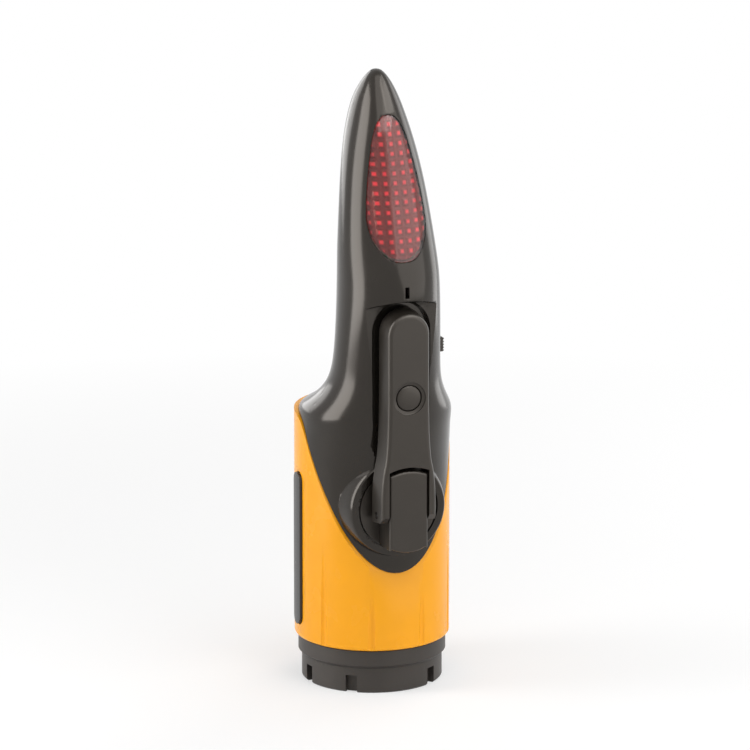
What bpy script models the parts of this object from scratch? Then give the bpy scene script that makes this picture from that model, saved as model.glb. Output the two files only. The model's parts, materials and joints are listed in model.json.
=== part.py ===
"""Hand crank flashlight standing on its lamp end, the crank folded up along its handle.

Metres, +Z up. The barrel's axis runs up Z, the crank faces -Y and z = 0 is the bezel's rim.
"Reach" below means the distance from the barrel's axis towards the crank side.
"""
import bmesh
import bpy
from math import acos, asin, cos, pi, radians, sin, sqrt, tan
from mathutils import Matrix, Vector

# Driving sizes of the whole tool
tool_height = 0.211
barrel_radius = 0.02625
sleeve_wall = 0.00225
housing_wall = 0.0020
fit_gap = 0.0003
running_gap = 0.0002
overrun = 0.0010

# Bezel with its lamp and magnets
bezel_height = 0.0150
bezel_inset = 0.00245
bezel_band_inset = 0.00125
bezel_band_height = 0.0052
bezel_chamfer = 0.0012
rim_wall = 0.0033
rim_depth = 0.0010
notch_width = 0.0040
notch_height = 0.0060
notch_depth = 0.0022
notch_angles = [radians(angle) for angle in (37, 83, 157, 203, 277, 323)]
lens_opening_radius = 0.01135
lens_radius = 0.0128
lens_thickness = 0.0020
lens_lip = 0.0018
seal_thickness = 0.0008
reflector_wall = 0.0009
reflector_height = 0.0095
lamp_board_thickness = 0.0014
lamp_led_radius = 0.0026
lamp_led_height = 0.0022
spigot_height = 0.0050
spigot_wall = 0.0020
magnet_radius = 0.0030
magnet_height = 0.0030
magnet_margin = 0.0007
magnet_proud = 0.0007
magnet_angles = [radians(angle) for angle in (0, 120, 240)]

# Glass breaker on the bezel's back
guard_radius = 0.0052
guard_height = 0.0074
guard_length = 0.0067
guard_seat_depth = 0.0016
guard_bore = 0.0021
guard_flare = 0.0008
tip_radius = 0.0017
tip_recess = 0.0006
tip_point = 0.0026

# Sleeve round the barrel
sleeve_back_top = 0.0940
sleeve_front_low = 0.0410
sleeve_side_rise = 0.0796
sleeve_edge = 0.0012
strip_width = 0.0060
strip_low = 0.0203
strip_high = 0.0734
strip_proud = 0.0009
groove_width = 0.0011
groove_depth = 0.0006
groove_low = 0.0180
groove_front_high = 0.0340
groove_side_high = 0.0480
groove_back_high = 0.0700

# Crank hub and arm
hub_height = 0.0650
hub_radius = 0.0135
hub_face_inset = 0.00025
hub_thickness = 0.0018
hub_gap = 0.0005
hub_rim_wall = 0.0026
hub_boss_slope = 0.0020
hub_boss_drop = 0.0004
lug_half_width = 0.00675
lug_rise = 0.0136
lug_drop = 0.0128
lug_crown = 0.0014
lug_chamfer = 0.0008
lug_gap = 0.0008
hinge_rise = 0.0060
hinge_pin_radius = 0.00105
arm_length = 0.0700
arm_half_width = 0.0080
arm_face_rise = 0.0048
arm_side_slope = 0.0009
arm_edge = 0.0007
tine_half_span = 0.0104
tine_drop = 0.0028
tine_shoulder = 0.0120
arm_neck = 0.0230
knob_distance = 0.0405
knob_inset = 0.0001
knob_radius = 0.0033
knob_end_margin = 0.0063
knob_bore = 0.0017
knob_end = 0.0009
knob_gap = 0.0004
spindle_radius = 0.0013
eye_radius = 0.0029
eye_half_width = 0.0026
knob_pin_radius = 0.0009
knob_pin_half_length = 0.0056
cap_radius = 0.00435
cap_thickness = 0.00065
dish_radius = 0.0060
dish_depth = 0.00025
crank_swing_gap = 0.0011

# Pocket behind the crank
shelf_gap = 0.0004
pocket_depth = 0.0021
pocket_margin = 0.0015
well_wall = 0.0015
well_gap = 0.0005

# Gear train and generator
crank_teeth = 40
crank_module = 0.0006
pinion_teeth = 10
wheel_teeth = 36
wheel_module = 0.0005
rotor_teeth = 10
tooth_backlash = 0.00010
centre_backlash = 0.00005
pressure_angle = radians(25)
addendum_share = 0.85
dedendum_share = 1.25
crank_gear_width = 0.0030
wheel_gap = 0.0008
wheel_width = 0.0022
layer_gap = 0.0003
shaft_radius = 0.0030
shaft_socket = 0.0030
bush_wall = 0.0016
bush_flange = 0.0010
arbor_radius = 0.0012
gear_depth = 0.0190
plate_thickness = 0.0020
plate_drop = 0.0388
plate_rise = 0.0230
plate_corner = 0.0060
post_radius = 0.0026
post_margin = 0.0048
post_drop = 0.0210
post_rise = 0.0180
screw_radius = 0.0010
screw_head_radius = 0.0022
screw_head = 0.0014
screw_length = 0.0080
housing_screw_length = 0.0160
upper_screw_drop = 0.0060
upper_screw_ledge = 0.0020
lower_screw_rise = 0.0480
lower_screw_side = 0.0118
lower_screw_ledge = 0.0060
generator_radius = 0.0110
generator_depth = 0.0110
generator_wall = 0.0024
rotor_radius = 0.0080
rotor_shaft_radius = 0.0010

# Batteries, boards, switch and jack
tray_thickness = 0.0015
cell_radius = 0.0051
cell_height = 0.0300
cell_margin = 0.0006
cell_nub = 0.0018
cell_gap = 0.0020
board_thickness = 0.0014
control_board_side = 0.0082
control_board_drop = 0.0140
control_board_rise = 0.0150
control_board_margin = 0.0025
control_board_width = 0.0172
switch_rise = 0.0530
switch_inset = 0.0060
switch_travel = 0.0080
switch_nub_length = 0.0050
switch_nub_width = 0.0032
switch_nub_proud = 0.0014
switch_plate_length = 0.0090
switch_plate_width = 0.0056
switch_plate_thickness = 0.0014
switch_body_depth = 0.0030
switch_body_length = 0.0180
jack_rise = 0.0240
jack_radius = 0.0030
jack_bore = 0.0013
jack_body = 0.0078
jack_depth = 0.0090

# Flasher, window, belt cutter and lanyard bar
flasher_foot_margin = 0.0090
flasher_top_margin = 0.0130
flasher_side_margin = 0.01575
flasher_gap = 0.0003
flasher_wall = 0.0018
flasher_board_offset = 0.0092
flasher_rib = 0.0013
flasher_led_radius = 0.0015
flasher_led_height = 0.0030
flasher_led_shares = (0.2, 0.5, 0.8)
window_rise = 0.0060
window_half_width = 0.0008
window_half_length = 0.0019
belt_slot_width = 0.0028
belt_slot_reach = -0.0018
belt_slot_length = 0.0265
belt_slot_margin = 0.0135
belt_mouth = 0.0060
blade_thickness = 0.0007
blade_length = 0.0064
blade_width = 0.0030
blade_drop = 0.0070
bail_radius = 0.0010
bail_rise = 0.0014
bail_length = 0.0222
bail_inner_reach = -0.0006
bail_inset = 0.00595
bail_bend = 0.0085

# How finely round pieces are divided
steps_wide = 40
steps_middle = 20
steps_small = 12
section_points = 24

# Values that follow from the sizes above
housing_radius = barrel_radius - fit_gap
core_radius = barrel_radius - sleeve_wall - fit_gap
inner_radius = core_radius - housing_wall
bezel_radius = barrel_radius - bezel_inset
bezel_band_radius = barrel_radius - bezel_band_inset
magnet_circle = bezel_radius - rim_wall - magnet_radius - magnet_margin
guard_reach = bezel_radius + guard_length
hub_face_reach = barrel_radius - hub_face_inset
hub_boss_reach = hub_face_reach - hub_boss_drop
hinge_reach = hub_face_reach + hinge_rise
arm_face_reach = hinge_reach + arm_face_rise
knob_reach = arm_face_reach - dish_depth - cap_thickness - running_gap - knob_radius
arm_back_reach = knob_reach - knob_radius - knob_inset
shelf_reach = arm_back_reach - shelf_gap
pocket_reach = shelf_reach - pocket_depth
knob_height = hub_height + knob_distance
knob_length = arm_length - knob_distance - eye_radius - knob_gap - knob_end - knob_end_margin
plate_reach = hub_face_reach - gear_depth
plate_low = hub_height - plate_drop
plate_high = hub_height + plate_rise
plate_half_width = sqrt(inner_radius ** 2 - (plate_reach + plate_thickness) ** 2) - fit_gap
post_places = [(side * (plate_half_width - post_margin), height)
               for height in (hub_height - post_drop, hub_height + post_rise) for side in (-1, 1)]
wheel_reach = plate_reach + plate_thickness + wheel_gap
crank_gear_reach = wheel_reach + wheel_width + layer_gap * 2
generator_back = plate_reach - fit_gap - generator_depth
cell_circle = inner_radius - cell_radius - cell_margin
cell_spread = 2 * asin((cell_radius + cell_gap / 2) / cell_circle)
switch_height = hub_height + switch_rise
control_board_low = switch_height - control_board_drop
control_board_high = switch_height + control_board_rise
control_board_front = pocket_reach - housing_wall - control_board_margin
control_board_back = control_board_front - control_board_width
switch_reach = control_board_front - switch_inset
jack_height = hub_height + jack_rise
flasher_high = tool_height - flasher_top_margin
window_height = hub_height + arm_length + window_rise
flasher_low = window_height + flasher_foot_margin
flasher_half_width = housing_radius - flasher_side_margin
housing_screw_places = [(0, flasher_low - upper_screw_drop, upper_screw_ledge),
                        (-lower_screw_side, hub_height + lower_screw_rise, lower_screw_ledge)]
belt_slot_high = tool_height - belt_slot_margin
belt_slot_low = belt_slot_high - belt_slot_length
blade_height = belt_slot_high - blade_drop
bail_low = sleeve_back_top + bail_rise
bail_high = bail_low + bail_length
bail_outer_reach = bail_inset - housing_radius
grooves = [(20, groove_front_high), (58, groove_side_high), (116, groove_back_high),
           (148, groove_back_high)]
idler_height = hub_height - (crank_teeth + pinion_teeth) * crank_module / 2 - centre_backlash
rotor_height = idler_height - (wheel_teeth + rotor_teeth) * wheel_module / 2 - centre_backlash
barrel_shift = (arm_face_reach - guard_reach) / 2
swing_radius = arm_length + crank_swing_gap
hub_pad_reach = inner_radius - housing_wall * 0.8

for old in list(bpy.data.objects):
    bpy.data.objects.remove(old)

barrel_axis = bpy.data.objects.new("barrel_axis", None)
bpy.context.scene.collection.objects.link(barrel_axis)
barrel_axis.location = (0, barrel_shift, 0)

# Frames: local Z of each points up, to the crank side, or to the left
upward = Matrix.Identity(4)
forward = Matrix.Rotation(radians(90), 4, "X")
sideways = Matrix(((0, 0, -1, 0), (-1, 0, 0, 0), (0, 1, 0, 0), (0, 0, 0, 1)))


def place(x, reach, z):
    """A point given by its side, its reach towards the crank and its height."""
    return Vector((x, -reach, z))


def moved(x, reach, z, turn):
    """The frame `turn`, carried to a place."""
    return Matrix.Translation(place(x, reach, z)) @ turn


# Materials
def material(name, colour, roughness, metallic=0.0):
    made = bpy.data.materials.new(name)
    made.use_nodes = True
    shader = made.node_tree.nodes["Principled BSDF"]
    shader.inputs["Base Color"].default_value = (*colour, 1)
    shader.inputs["Roughness"].default_value = roughness
    shader.inputs["Metallic"].default_value = metallic
    return made


materials = {
    "black_gloss": material("black_gloss", (0.035, 0.030, 0.027), 0.25),
    "black_matte": material("black_matte", (0.040, 0.038, 0.036), 0.55),
    "yellow_gloss": material("yellow_gloss", (0.90, 0.42, 0.03), 0.30),
    "black_rubber": material("black_rubber", (0.030, 0.030, 0.030), 0.80),
    "red_lens": material("red_lens", (0.55, 0.03, 0.05), 0.20),
    "red_plastic": material("red_plastic", (0.50, 0.02, 0.03), 0.40),
    "clear_lens": material("clear_lens", (0.85, 0.88, 0.90), 0.05),
    "mirror": material("mirror", (0.90, 0.90, 0.90), 0.08, 1.0),
    "steel": material("steel", (0.60, 0.60, 0.60), 0.30, 1.0),
    "brass": material("brass", (0.70, 0.52, 0.25), 0.35, 1.0),
    "white_plastic": material("white_plastic", (0.80, 0.80, 0.76), 0.40),
    "board_green": material("board_green", (0.03, 0.20, 0.08), 0.50),
    "cell_wrap": material("cell_wrap", (0.05, 0.22, 0.45), 0.35),
}


# Shapes
def set_up(name, bm, finish, pivot=None, cutter=False):
    """Turn a bmesh into an object on the barrel's axis, its origin on its pivot."""
    bmesh.ops.recalc_face_normals(bm, faces=bm.faces)
    if bm.calc_volume(signed=True) < 0:
        bmesh.ops.reverse_faces(bm, faces=bm.faces)
    home = pivot if pivot else Vector((0, 0, 0))
    bmesh.ops.translate(bm, verts=bm.verts, vec=-home)
    mesh = bpy.data.meshes.new(name)
    bm.to_mesh(mesh)
    bm.free()
    mesh.shade_smooth()
    mesh.set_sharp_from_angle(angle=radians(32))
    thing = bpy.data.objects.new(name, mesh)
    bpy.context.scene.collection.objects.link(thing)
    thing.parent = barrel_axis
    thing.location = home
    if finish:
        mesh.materials.append(materials[finish])
    if cutter:
        thing.hide_render = True
        thing.display_type = "WIRE"
    return thing


def turned(profile, frame=upward, steps=steps_middle, closed=True):
    """Spin an outline of (radius, height) points round the frame's own Z."""
    bm = bmesh.new()
    points = [bm.verts.new((radius, 0, height)) for radius, height in profile]
    edges = [bm.edges.new(pair) for pair in zip(points, points[1:])]
    if closed:
        edges.append(bm.edges.new((points[-1], points[0])))
    bmesh.ops.spin(bm, geom=points + edges, cent=(0, 0, 0), axis=(0, 0, 1), dvec=(0, 0, 0),
                   angle=2 * pi, steps=steps, use_merge=True, use_duplicate=False)
    bmesh.ops.remove_doubles(bm, verts=bm.verts, dist=barrel_radius / 100000)
    bmesh.ops.transform(bm, matrix=frame, verts=bm.verts)
    return bm


def rod(radius, low, high, frame=upward, steps=steps_small):
    return turned([(0, low), (radius, low), (radius, high), (0, high)], frame, steps, closed=False)


def tube(outer, inner, low, high, frame=upward, steps=steps_middle):
    return turned([(inner, low), (outer, low), (outer, high), (inner, high)], frame, steps)


def plate(outline, low, high, frame=forward):
    """Extrude a flat outline along the frame's own Z."""
    bm = bmesh.new()
    face = bm.faces.new([bm.verts.new((across, up, low)) for across, up in outline])
    made = bmesh.ops.extrude_face_region(bm, geom=[face])["geom"]
    risen = [item for item in made if isinstance(item, bmesh.types.BMVert)]
    bmesh.ops.translate(bm, verts=risen, vec=(0, 0, high - low))
    bmesh.ops.transform(bm, matrix=frame, verts=bm.verts)
    return bm


def block(x, reach, z):
    """A box between two sides, two reaches and two heights."""
    outline = [(x[0], z[0]), (x[1], z[0]), (x[1], z[1]), (x[0], z[1])]
    return plate(outline, reach[0], reach[1])


def lofted(rings):
    """Skin over rings of points, closed with a flat face at each end."""
    bm = bmesh.new()
    rows = [[bm.verts.new(point) for point in ring] for ring in rings]
    bm.faces.new(rows[0])
    bm.faces.new(rows[-1])
    for low, high in zip(rows, rows[1:]):
        for i in range(len(low)):
            j = (i + 1) % len(low)
            bm.faces.new((low[i], low[j], high[j], high[i]))
    bmesh.ops.triangulate(bm, faces=bm.faces)
    return bm


def arc(centre, radius, start, end, steps):
    """Points of an arc, from one angle to another."""
    turns = [start + (end - start) * i / steps for i in range(steps + 1)]
    return [(centre[0] + radius * cos(turn), centre[1] + radius * sin(turn)) for turn in turns]


# The exact solver leaves open edges where the halves' many cuts meet
manifold_pieces = {"housing_front", "housing_back"}


def use_tool(thing, operation, tool):
    """Cut, join or meet an object with a guide object."""
    step = thing.modifiers.new(operation.lower(), "BOOLEAN")
    step.operation = operation
    step.solver = "MANIFOLD" if thing.name in manifold_pieces else "EXACT"
    step.object = tool


def combine(thing, operation, bm):
    """Cut, join or meet an object with another shape."""
    use_tool(thing, operation, set_up(thing.name + "_shape", bm, None, cutter=True))


def cut(thing, *shapes):
    for bm in shapes:
        combine(thing, "DIFFERENCE", bm)


def join(thing, *shapes):
    for bm in shapes:
        combine(thing, "UNION", bm)


# Housing sections: shares of the handle's rise, then of the housing's radius
handle_low = 0.0700
section_shares = [
    (0.000, 1.000, 1.000, -1.000, 0.000), (0.071, 0.990, 1.035, -1.000, 0.010),
    (0.106, 0.970, 1.085, -1.000, 0.035), (0.142, 0.925, 1.125, -1.000, 0.075),
    (0.174, 0.868, 1.150, -0.985, 0.150), (0.195, 0.822, 1.170, -0.670, 0.270),
    (0.216, 0.785, 1.190, -0.440, 0.360), (0.245, 0.748, 1.200, -0.270, 0.440),
    (0.274, 0.722, 1.205, -0.170, 0.500), (0.309, 0.700, 1.220, -0.090, 0.550),
    (0.366, 0.686, 1.255, -0.045, 0.592), (0.440, 0.670, 1.315, -0.055, 0.615),
    (0.504, 0.658, 1.345, -0.085, 0.612), (0.539, 0.650, 1.310, -0.095, 0.600),
    (0.588, 0.634, 1.195, -0.105, 0.550), (0.664, 0.592, 1.060, -0.118, 0.470),
    (0.741, 0.543, 0.942, -0.175, 0.385), (0.826, 0.462, 0.790, -0.270, 0.260),
    (0.889, 0.368, 0.655, -0.300, 0.185), (0.930, 0.296, 0.530, -0.235, 0.155),
    (0.961, 0.218, 0.425, -0.120, 0.160), (0.985, 0.135, 0.330, 0.000, 0.170),
    (1.000, 0.050, 0.240, 0.100, 0.170),
]
handle_rise = tool_height - handle_low
sections = [(handle_low + up * handle_rise, side * housing_radius, front * housing_radius,
             back * housing_radius, middle * housing_radius)
            for up, side, front, back, middle in section_shares]
sections.insert(0, (bezel_height + fit_gap, housing_radius, housing_radius, -housing_radius, 0))


def section_ring(height, side, front, back, middle):
    """An oval, widest at its middle, with its own depth to the front and to the back."""
    ring = []
    for i in range(section_points):
        turn = 2 * pi * i / section_points
        depth = front - middle if cos(turn) > 0 else middle - back
        ring.append(place(side * sin(turn), middle + depth * cos(turn), height))
    return ring


def inner_section(height, side, front, back, middle):
    """The hollow's section, a wall below and inside the outer one."""
    height = height - housing_wall
    pocket_top = hub_height + swing_radius + pocket_margin + housing_wall
    front = front - housing_wall
    back = back + housing_wall
    if height < pocket_top:
        front = min(front, pocket_reach - housing_wall)
    if height > belt_slot_low - housing_wall * 5:
        back = max(back, belt_slot_reach + housing_wall)
    if height < handle_low + housing_wall * 8:
        front = min(front, inner_radius)
        back = max(back, -inner_radius)
    side = min(side - housing_wall, inner_radius)
    middle = min(max(middle, back + housing_wall), front - housing_wall)
    return height, side, front, back, middle


def housing_solid():
    return lofted([section_ring(*section) for section in sections])


def hollow_solid():
    rows = [section for section in sections if section[0] < belt_slot_high]
    rings = [section_ring(*inner_section(*section)) for section in rows]
    base = section_ring(bezel_height - overrun, inner_radius, inner_radius, -inner_radius, 0)
    return lofted([base] + rings[1:])


def sleeve_line(shift=0):
    """Side view of the sleeve's top edge, low at the front and flat at the back."""
    slope = (sleeve_side_rise - sleeve_front_low) / (barrel_radius * 0.66)
    front = barrel_radius + overrun * 3
    knee = barrel_radius * 0.16
    return [
        (front + shift, sleeve_front_low - overrun * 3 * slope + shift),
        (barrel_radius * 0.34 + shift, sleeve_side_rise + shift),
        (knee + shift, sleeve_back_top * 0.945 + shift),
        (knee - barrel_radius * 0.13 + shift, sleeve_back_top * 0.982 + shift),
        (knee - barrel_radius * 0.30 + shift, sleeve_back_top * 0.997 + shift),
        (knee - barrel_radius * 0.46 + shift, sleeve_back_top + shift),
        (-barrel_radius - overrun * 3, sleeve_back_top + shift),
    ]


def above_sleeve(shift=0):
    far = barrel_radius + overrun * 3
    top = [(-far, tool_height), (far + shift, tool_height)]
    return plate(sleeve_line(shift) + top, -far, far, sideways)


def parting_line(shift):
    """Side view of the joint between the two housing halves, following the handle's middle."""
    line = [(parting_share * housing_radius + shift, handle_low + up * handle_rise)
            for up, parting_share in parting_shares]
    return [(line[0][0], -overrun)] + line


parting_shares = [(0.000, 0.155), (0.105, 0.20), (0.22, 0.34), (0.33, 0.44), (0.504, 0.44),
                  (0.664, 0.38), (0.826, 0.24), (0.93, 0.16), (1.02, 0.16)]


def beside_parting(shift, side):
    far = (housing_radius + overrun * 12) * side
    line = parting_line(shift)
    return plate(line + [(far, line[-1][1]), (far, line[0][1])], -housing_radius - overrun * 3,
                 housing_radius + overrun * 3, sideways)


# Barrel end: bezel, lens, seal, reflector, lamp and magnets
def bezel():
    lip_top = rim_depth + lens_lip
    bore = lens_radius + fit_gap
    spigot = inner_radius - fit_gap
    face = bezel_radius - rim_wall
    band_low = bezel_height - bezel_band_height
    profile = [
        (face, 0), (bezel_radius - bezel_chamfer / 2, 0), (bezel_radius, bezel_chamfer / 2),
        (bezel_radius, band_low - bezel_chamfer), (bezel_band_radius, band_low),
        (bezel_band_radius, bezel_height), (spigot, bezel_height),
        (spigot, bezel_height + spigot_height), (spigot - spigot_wall, bezel_height + spigot_height),
        (spigot - spigot_wall, bezel_height), (bore, bezel_height - spigot_wall), (bore, lip_top),
        (lens_opening_radius, lip_top), (lens_opening_radius, rim_depth), (face, rim_depth),
    ]
    thing = set_up("front_bezel", turned(profile, steps=steps_wide), "black_matte")
    for angle in notch_angles:
        turn = Matrix.Rotation(angle, 4, "Z")
        half = notch_width / 2
        notch = block((-half, half), (bezel_radius - notch_depth, bezel_radius + overrun),
                      (-overrun, notch_height))
        bmesh.ops.transform(notch, matrix=turn, verts=notch.verts)
        cut(thing, notch)
    for angle in magnet_angles:
        spot = moved(magnet_circle * sin(angle), magnet_circle * cos(angle), 0, upward)
        cut(thing, rod(magnet_radius + running_gap, -overrun, rim_depth - magnet_proud
                       + magnet_height + fit_gap, spot, steps_middle))
    seat = moved(0, 0, guard_height, forward)
    cut(thing, rod(guard_radius + fit_gap, -bezel_radius - overrun * 3, -bezel_radius
                   + guard_seat_depth, seat, steps_middle))
    return thing


def lamp():
    low = rim_depth + lens_lip + fit_gap
    lens_low = low + seal_thickness + running_gap
    lens_high = lens_low + lens_thickness
    crown = lens_thickness / 4
    set_up("lens_seal", tube(lens_radius, lens_opening_radius, low, low + seal_thickness),
           "black_rubber")
    set_up("lamp_lens", turned([(0, lens_low - crown), (lens_radius * 0.6, lens_low - crown * 0.7),
                                (lens_radius * 0.85, lens_low), (lens_radius, lens_low),
                                (lens_radius, lens_high), (0, lens_high)], closed=False),
           "clear_lens")
    foot = lens_high + running_gap
    top = foot + reflector_height
    mouth = lens_radius - reflector_wall * 1.5
    throat = lamp_led_radius + fit_gap
    bowl = [(throat + (mouth - throat) * sqrt(share), top - (top - foot) * share)
            for share in (0, 0.12, 0.3, 0.6, 1.0)]
    shell = [(lens_radius, foot), (lens_radius, foot + reflector_wall),
             (lens_radius * 0.8, foot + reflector_height * 0.6), (lens_radius * 0.45, top)]
    set_up("reflector", turned(bowl + shell), "mirror")
    board_low = top + running_gap
    set_up("lamp_board", rod(lens_radius, board_low, board_low + lamp_board_thickness, upward,
                             steps_middle), "board_green")
    led = [(0, board_low - lamp_led_height), (lamp_led_radius * 0.7, board_low
           - lamp_led_height * 0.8), (lamp_led_radius, board_low - lamp_led_height * 0.4),
           (lamp_led_radius, board_low), (0, board_low)]
    set_up("lamp_led", turned(led, steps=steps_small, closed=False), "white_plastic")


def magnets():
    low = rim_depth - magnet_proud
    for number, angle in enumerate(magnet_angles, 1):
        spot = moved(magnet_circle * sin(angle), magnet_circle * cos(angle), 0, upward)
        set_up(f"base_magnet_{number}", rod(magnet_radius, low, low + magnet_height, spot,
                                            steps_middle), "steel")


def glass_breaker():
    frame = moved(0, 0, guard_height, Matrix.Rotation(radians(-90), 4, "X"))
    low = bezel_radius - guard_seat_depth + fit_gap
    high = guard_reach
    profile = [(0, low), (guard_radius, low), (guard_radius, high - guard_flare),
               (guard_radius - guard_flare, high), (guard_bore, high),
               (guard_bore, low + guard_seat_depth), (0, low + guard_seat_depth)]
    set_up("breaker_guard", turned(profile, frame, closed=False), "red_plastic")
    foot = low + guard_seat_depth + running_gap
    end = high - tip_recess
    set_up("breaker_tip", turned([(0, foot), (tip_radius, foot), (tip_radius, end - tip_point),
                                  (0, end)], frame, steps_small, closed=False), "steel")


# Sleeve with its strips
def sleeve():
    low = bezel_height + fit_gap
    inside = barrel_radius - sleeve_wall
    profile = [(inside, low), (barrel_radius - sleeve_edge, low),
               (barrel_radius - sleeve_edge * 0.3, low + sleeve_edge * 0.3),
               (barrel_radius, low + sleeve_edge), (barrel_radius, sleeve_back_top + overrun),
               (inside, sleeve_back_top + overrun)]
    thing = set_up("barrel_sleeve", turned(profile, steps=steps_wide), "yellow_gloss")
    cut(thing, above_sleeve())
    for side in (-1, 1):
        cut(thing, strip_shape(side, fit_gap, inside - overrun, barrel_radius + overrun))
    for angle, high in grooves:
        for side in (-1, 1):
            half = groove_width / 2
            groove = block((-half, half), (barrel_radius - groove_depth, barrel_radius + overrun),
                           (groove_low, high))
            bmesh.ops.rotate(groove, verts=groove.verts, cent=(0, 0, 0),
                             matrix=Matrix.Rotation(radians(angle * side), 3, "Z"))
            cut(thing, groove)
    return thing


def strip_shape(side, margin, inside, outside):
    """A long rounded strip standing off the barrel's side."""
    half = strip_width / 2 + margin
    low = strip_low + strip_width / 2
    high = strip_high - strip_width / 2
    outline = arc((0, high), half, 0, pi, 8) + arc((0, low), half, pi, 2 * pi, 8)
    spans = sorted((-side * inside, -side * outside))
    return plate(outline, spans[0], spans[1], sideways)


def grip_strips():
    inside = sqrt(core_radius ** 2 - strip_width ** 2 / 16) + fit_gap
    for side, name in ((-1, "grip_strip_left"), (1, "grip_strip_right")):
        set_up(name, strip_shape(side, 0, inside, barrel_radius + strip_proud), "black_rubber")


# Crank
def arm_outline(inset, margin=0):
    """The arm seen from the front, without its fork, as places from the hub's centre."""
    wide = tine_half_span - inset + margin
    half = arm_half_width - inset + margin
    end = arm_length - arm_half_width
    tip = [(x, hub_height + up) for x, up in arc((0, end), half, 0, pi, 12)]
    foot = hub_height - tine_drop - margin
    right = [(wide, foot), (wide, hub_height + tine_shoulder), (half, hub_height + arm_neck)]
    left = [(-x, z) for x, z in reversed(right)]
    return right + tip + left


def crank_arm():
    levels = [(arm_back_reach, 0), (arm_face_reach - arm_edge, arm_side_slope),
              (arm_face_reach, arm_side_slope + arm_edge)]
    rings = [[place(x, reach, z) for x, z in arm_outline(inset)] for reach, inset in levels]
    hinge = place(0, hinge_reach, hub_height)
    thing = set_up("crank_arm", lofted(rings), "black_gloss", hinge)
    side = lug_half_width + fit_gap
    top = lug_rise + lug_gap
    crown = crown_arc(side, hub_height + top, lug_crown)
    far = [(-side, hub_height - tine_drop - overrun), (side, hub_height - tine_drop - overrun)]
    cut(thing, plate(far + crown, arm_back_reach - overrun, arm_face_reach + overrun))
    cut(thing, rod(hinge_pin_radius + running_gap, -tine_half_span - overrun, tine_half_span
                   + overrun, moved(0, hinge_reach, hub_height, sideways)))
    chamfer = arm_face_reach - hinge_reach - tine_drop / 3
    corner = [(arm_face_reach + overrun, hub_height - tine_drop - overrun),
              (arm_face_reach + overrun, hub_height - tine_drop + chamfer),
              (hinge_reach + tine_drop / 2, hub_height - tine_drop - overrun)]
    cut(thing, plate(corner, -tine_half_span - overrun, tine_half_span + overrun, sideways))
    channel = knob_radius + knob_gap
    low = knob_height - eye_radius - knob_gap
    high = knob_height + knob_tip_distance() + knob_gap
    ceiling = knob_reach + knob_radius + running_gap
    cut(thing, block((-channel, channel), (arm_back_reach - overrun, ceiling), (low, high)))
    pin_frame = moved(0, knob_reach, knob_height, sideways)
    pin_end = knob_pin_half_length + fit_gap
    cut(thing, rod(knob_pin_radius + running_gap, -pin_end, pin_end, pin_frame))
    cap_frame = moved(0, 0, knob_height, forward)
    cut(thing, rod(dish_radius, arm_face_reach - dish_depth, arm_face_reach + overrun, cap_frame,
                   steps_middle))
    cut(thing, rod(cap_radius + running_gap, ceiling - overrun, arm_face_reach + overrun, cap_frame,
                   steps_middle))
    return thing


def crown_arc(side, top, crown):
    """A shallow arch from the right side over the middle to the left side."""
    radius = (side ** 2 + crown ** 2) / (2 * crown)
    spread = asin(side / radius)
    return arc((0, top - radius), radius, pi / 2 - spread, pi / 2 + spread, 8)


def knob_tip_distance():
    return eye_radius + knob_gap + knob_length + knob_end


def crank_hub():
    frame = moved(0, 0, hub_height, forward)
    axis = place(0, hub_face_reach, hub_height)
    disc = rod(hub_radius, hub_face_reach - hub_thickness, hub_face_reach, frame, 36)
    thing = set_up("crank_hub", disc, "black_gloss", axis)
    lug_face = arm_face_reach - fit_gap
    crown = crown_arc(lug_half_width, hub_height + lug_rise, lug_crown)
    chord = sqrt(hub_radius ** 2 - lug_half_width ** 2)
    low_turn = asin(lug_half_width / hub_radius)
    base = [(x, hub_height + z) for x, z in
            arc((0, 0), lug_drop, -pi / 2 - low_turn, -pi / 2 + low_turn, 8)]
    base = [(-lug_half_width, hub_height - chord)] + base[1:-1] + [(lug_half_width,
                                                                   hub_height - chord)]
    join(thing, plate(base + crown, hub_face_reach - hub_thickness / 2, lug_face))
    for up, level in ((1, hub_height + lug_rise), (-1, hub_height - lug_drop)):
        bevel = [(lug_face + overrun, level - up * (lug_chamfer + overrun)),
                 (lug_face + overrun, level + up * overrun),
                 (lug_face - lug_chamfer - overrun, level + up * overrun)]
        cut(thing, plate(bevel, -hub_radius, hub_radius, sideways))
    cut(thing, rod(shaft_radius + running_gap, hub_face_reach - hub_thickness - overrun,
                   hub_face_reach + shaft_socket, frame, steps_middle))
    cut(thing, rod(hinge_pin_radius + running_gap, -hub_radius, hub_radius,
                   moved(0, hinge_reach, hub_height, sideways)))
    return thing


def crank_pins():
    axis = place(0, hub_face_reach, hub_height)
    end = tine_half_span - arm_side_slope
    set_up("hinge_pin", rod(hinge_pin_radius, -end, end, moved(0, hinge_reach, hub_height,
                                                                sideways)), "steel", axis)
    low = plate_reach + fit_gap
    set_up("crank_shaft", rod(shaft_radius, low, hub_face_reach + shaft_socket - fit_gap,
                              moved(0, 0, hub_height, forward), steps_middle), "steel", axis)
    knob_home = place(0, hinge_reach, hub_height)
    set_up("knob_pin", rod(knob_pin_radius, -knob_pin_half_length, knob_pin_half_length,
                           moved(0, knob_reach, knob_height, sideways)), "steel", knob_home)
    cap_low = knob_reach + knob_radius + running_gap
    cap_high = arm_face_reach - dish_depth
    cap = [(0, cap_low), (cap_radius, cap_low), (cap_radius, cap_high - running_gap),
           (cap_radius - running_gap, cap_high), (0, cap_high)]
    set_up("pivot_cap", turned(cap, moved(0, 0, knob_height, forward), closed=False),
           "black_gloss", knob_home)


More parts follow.
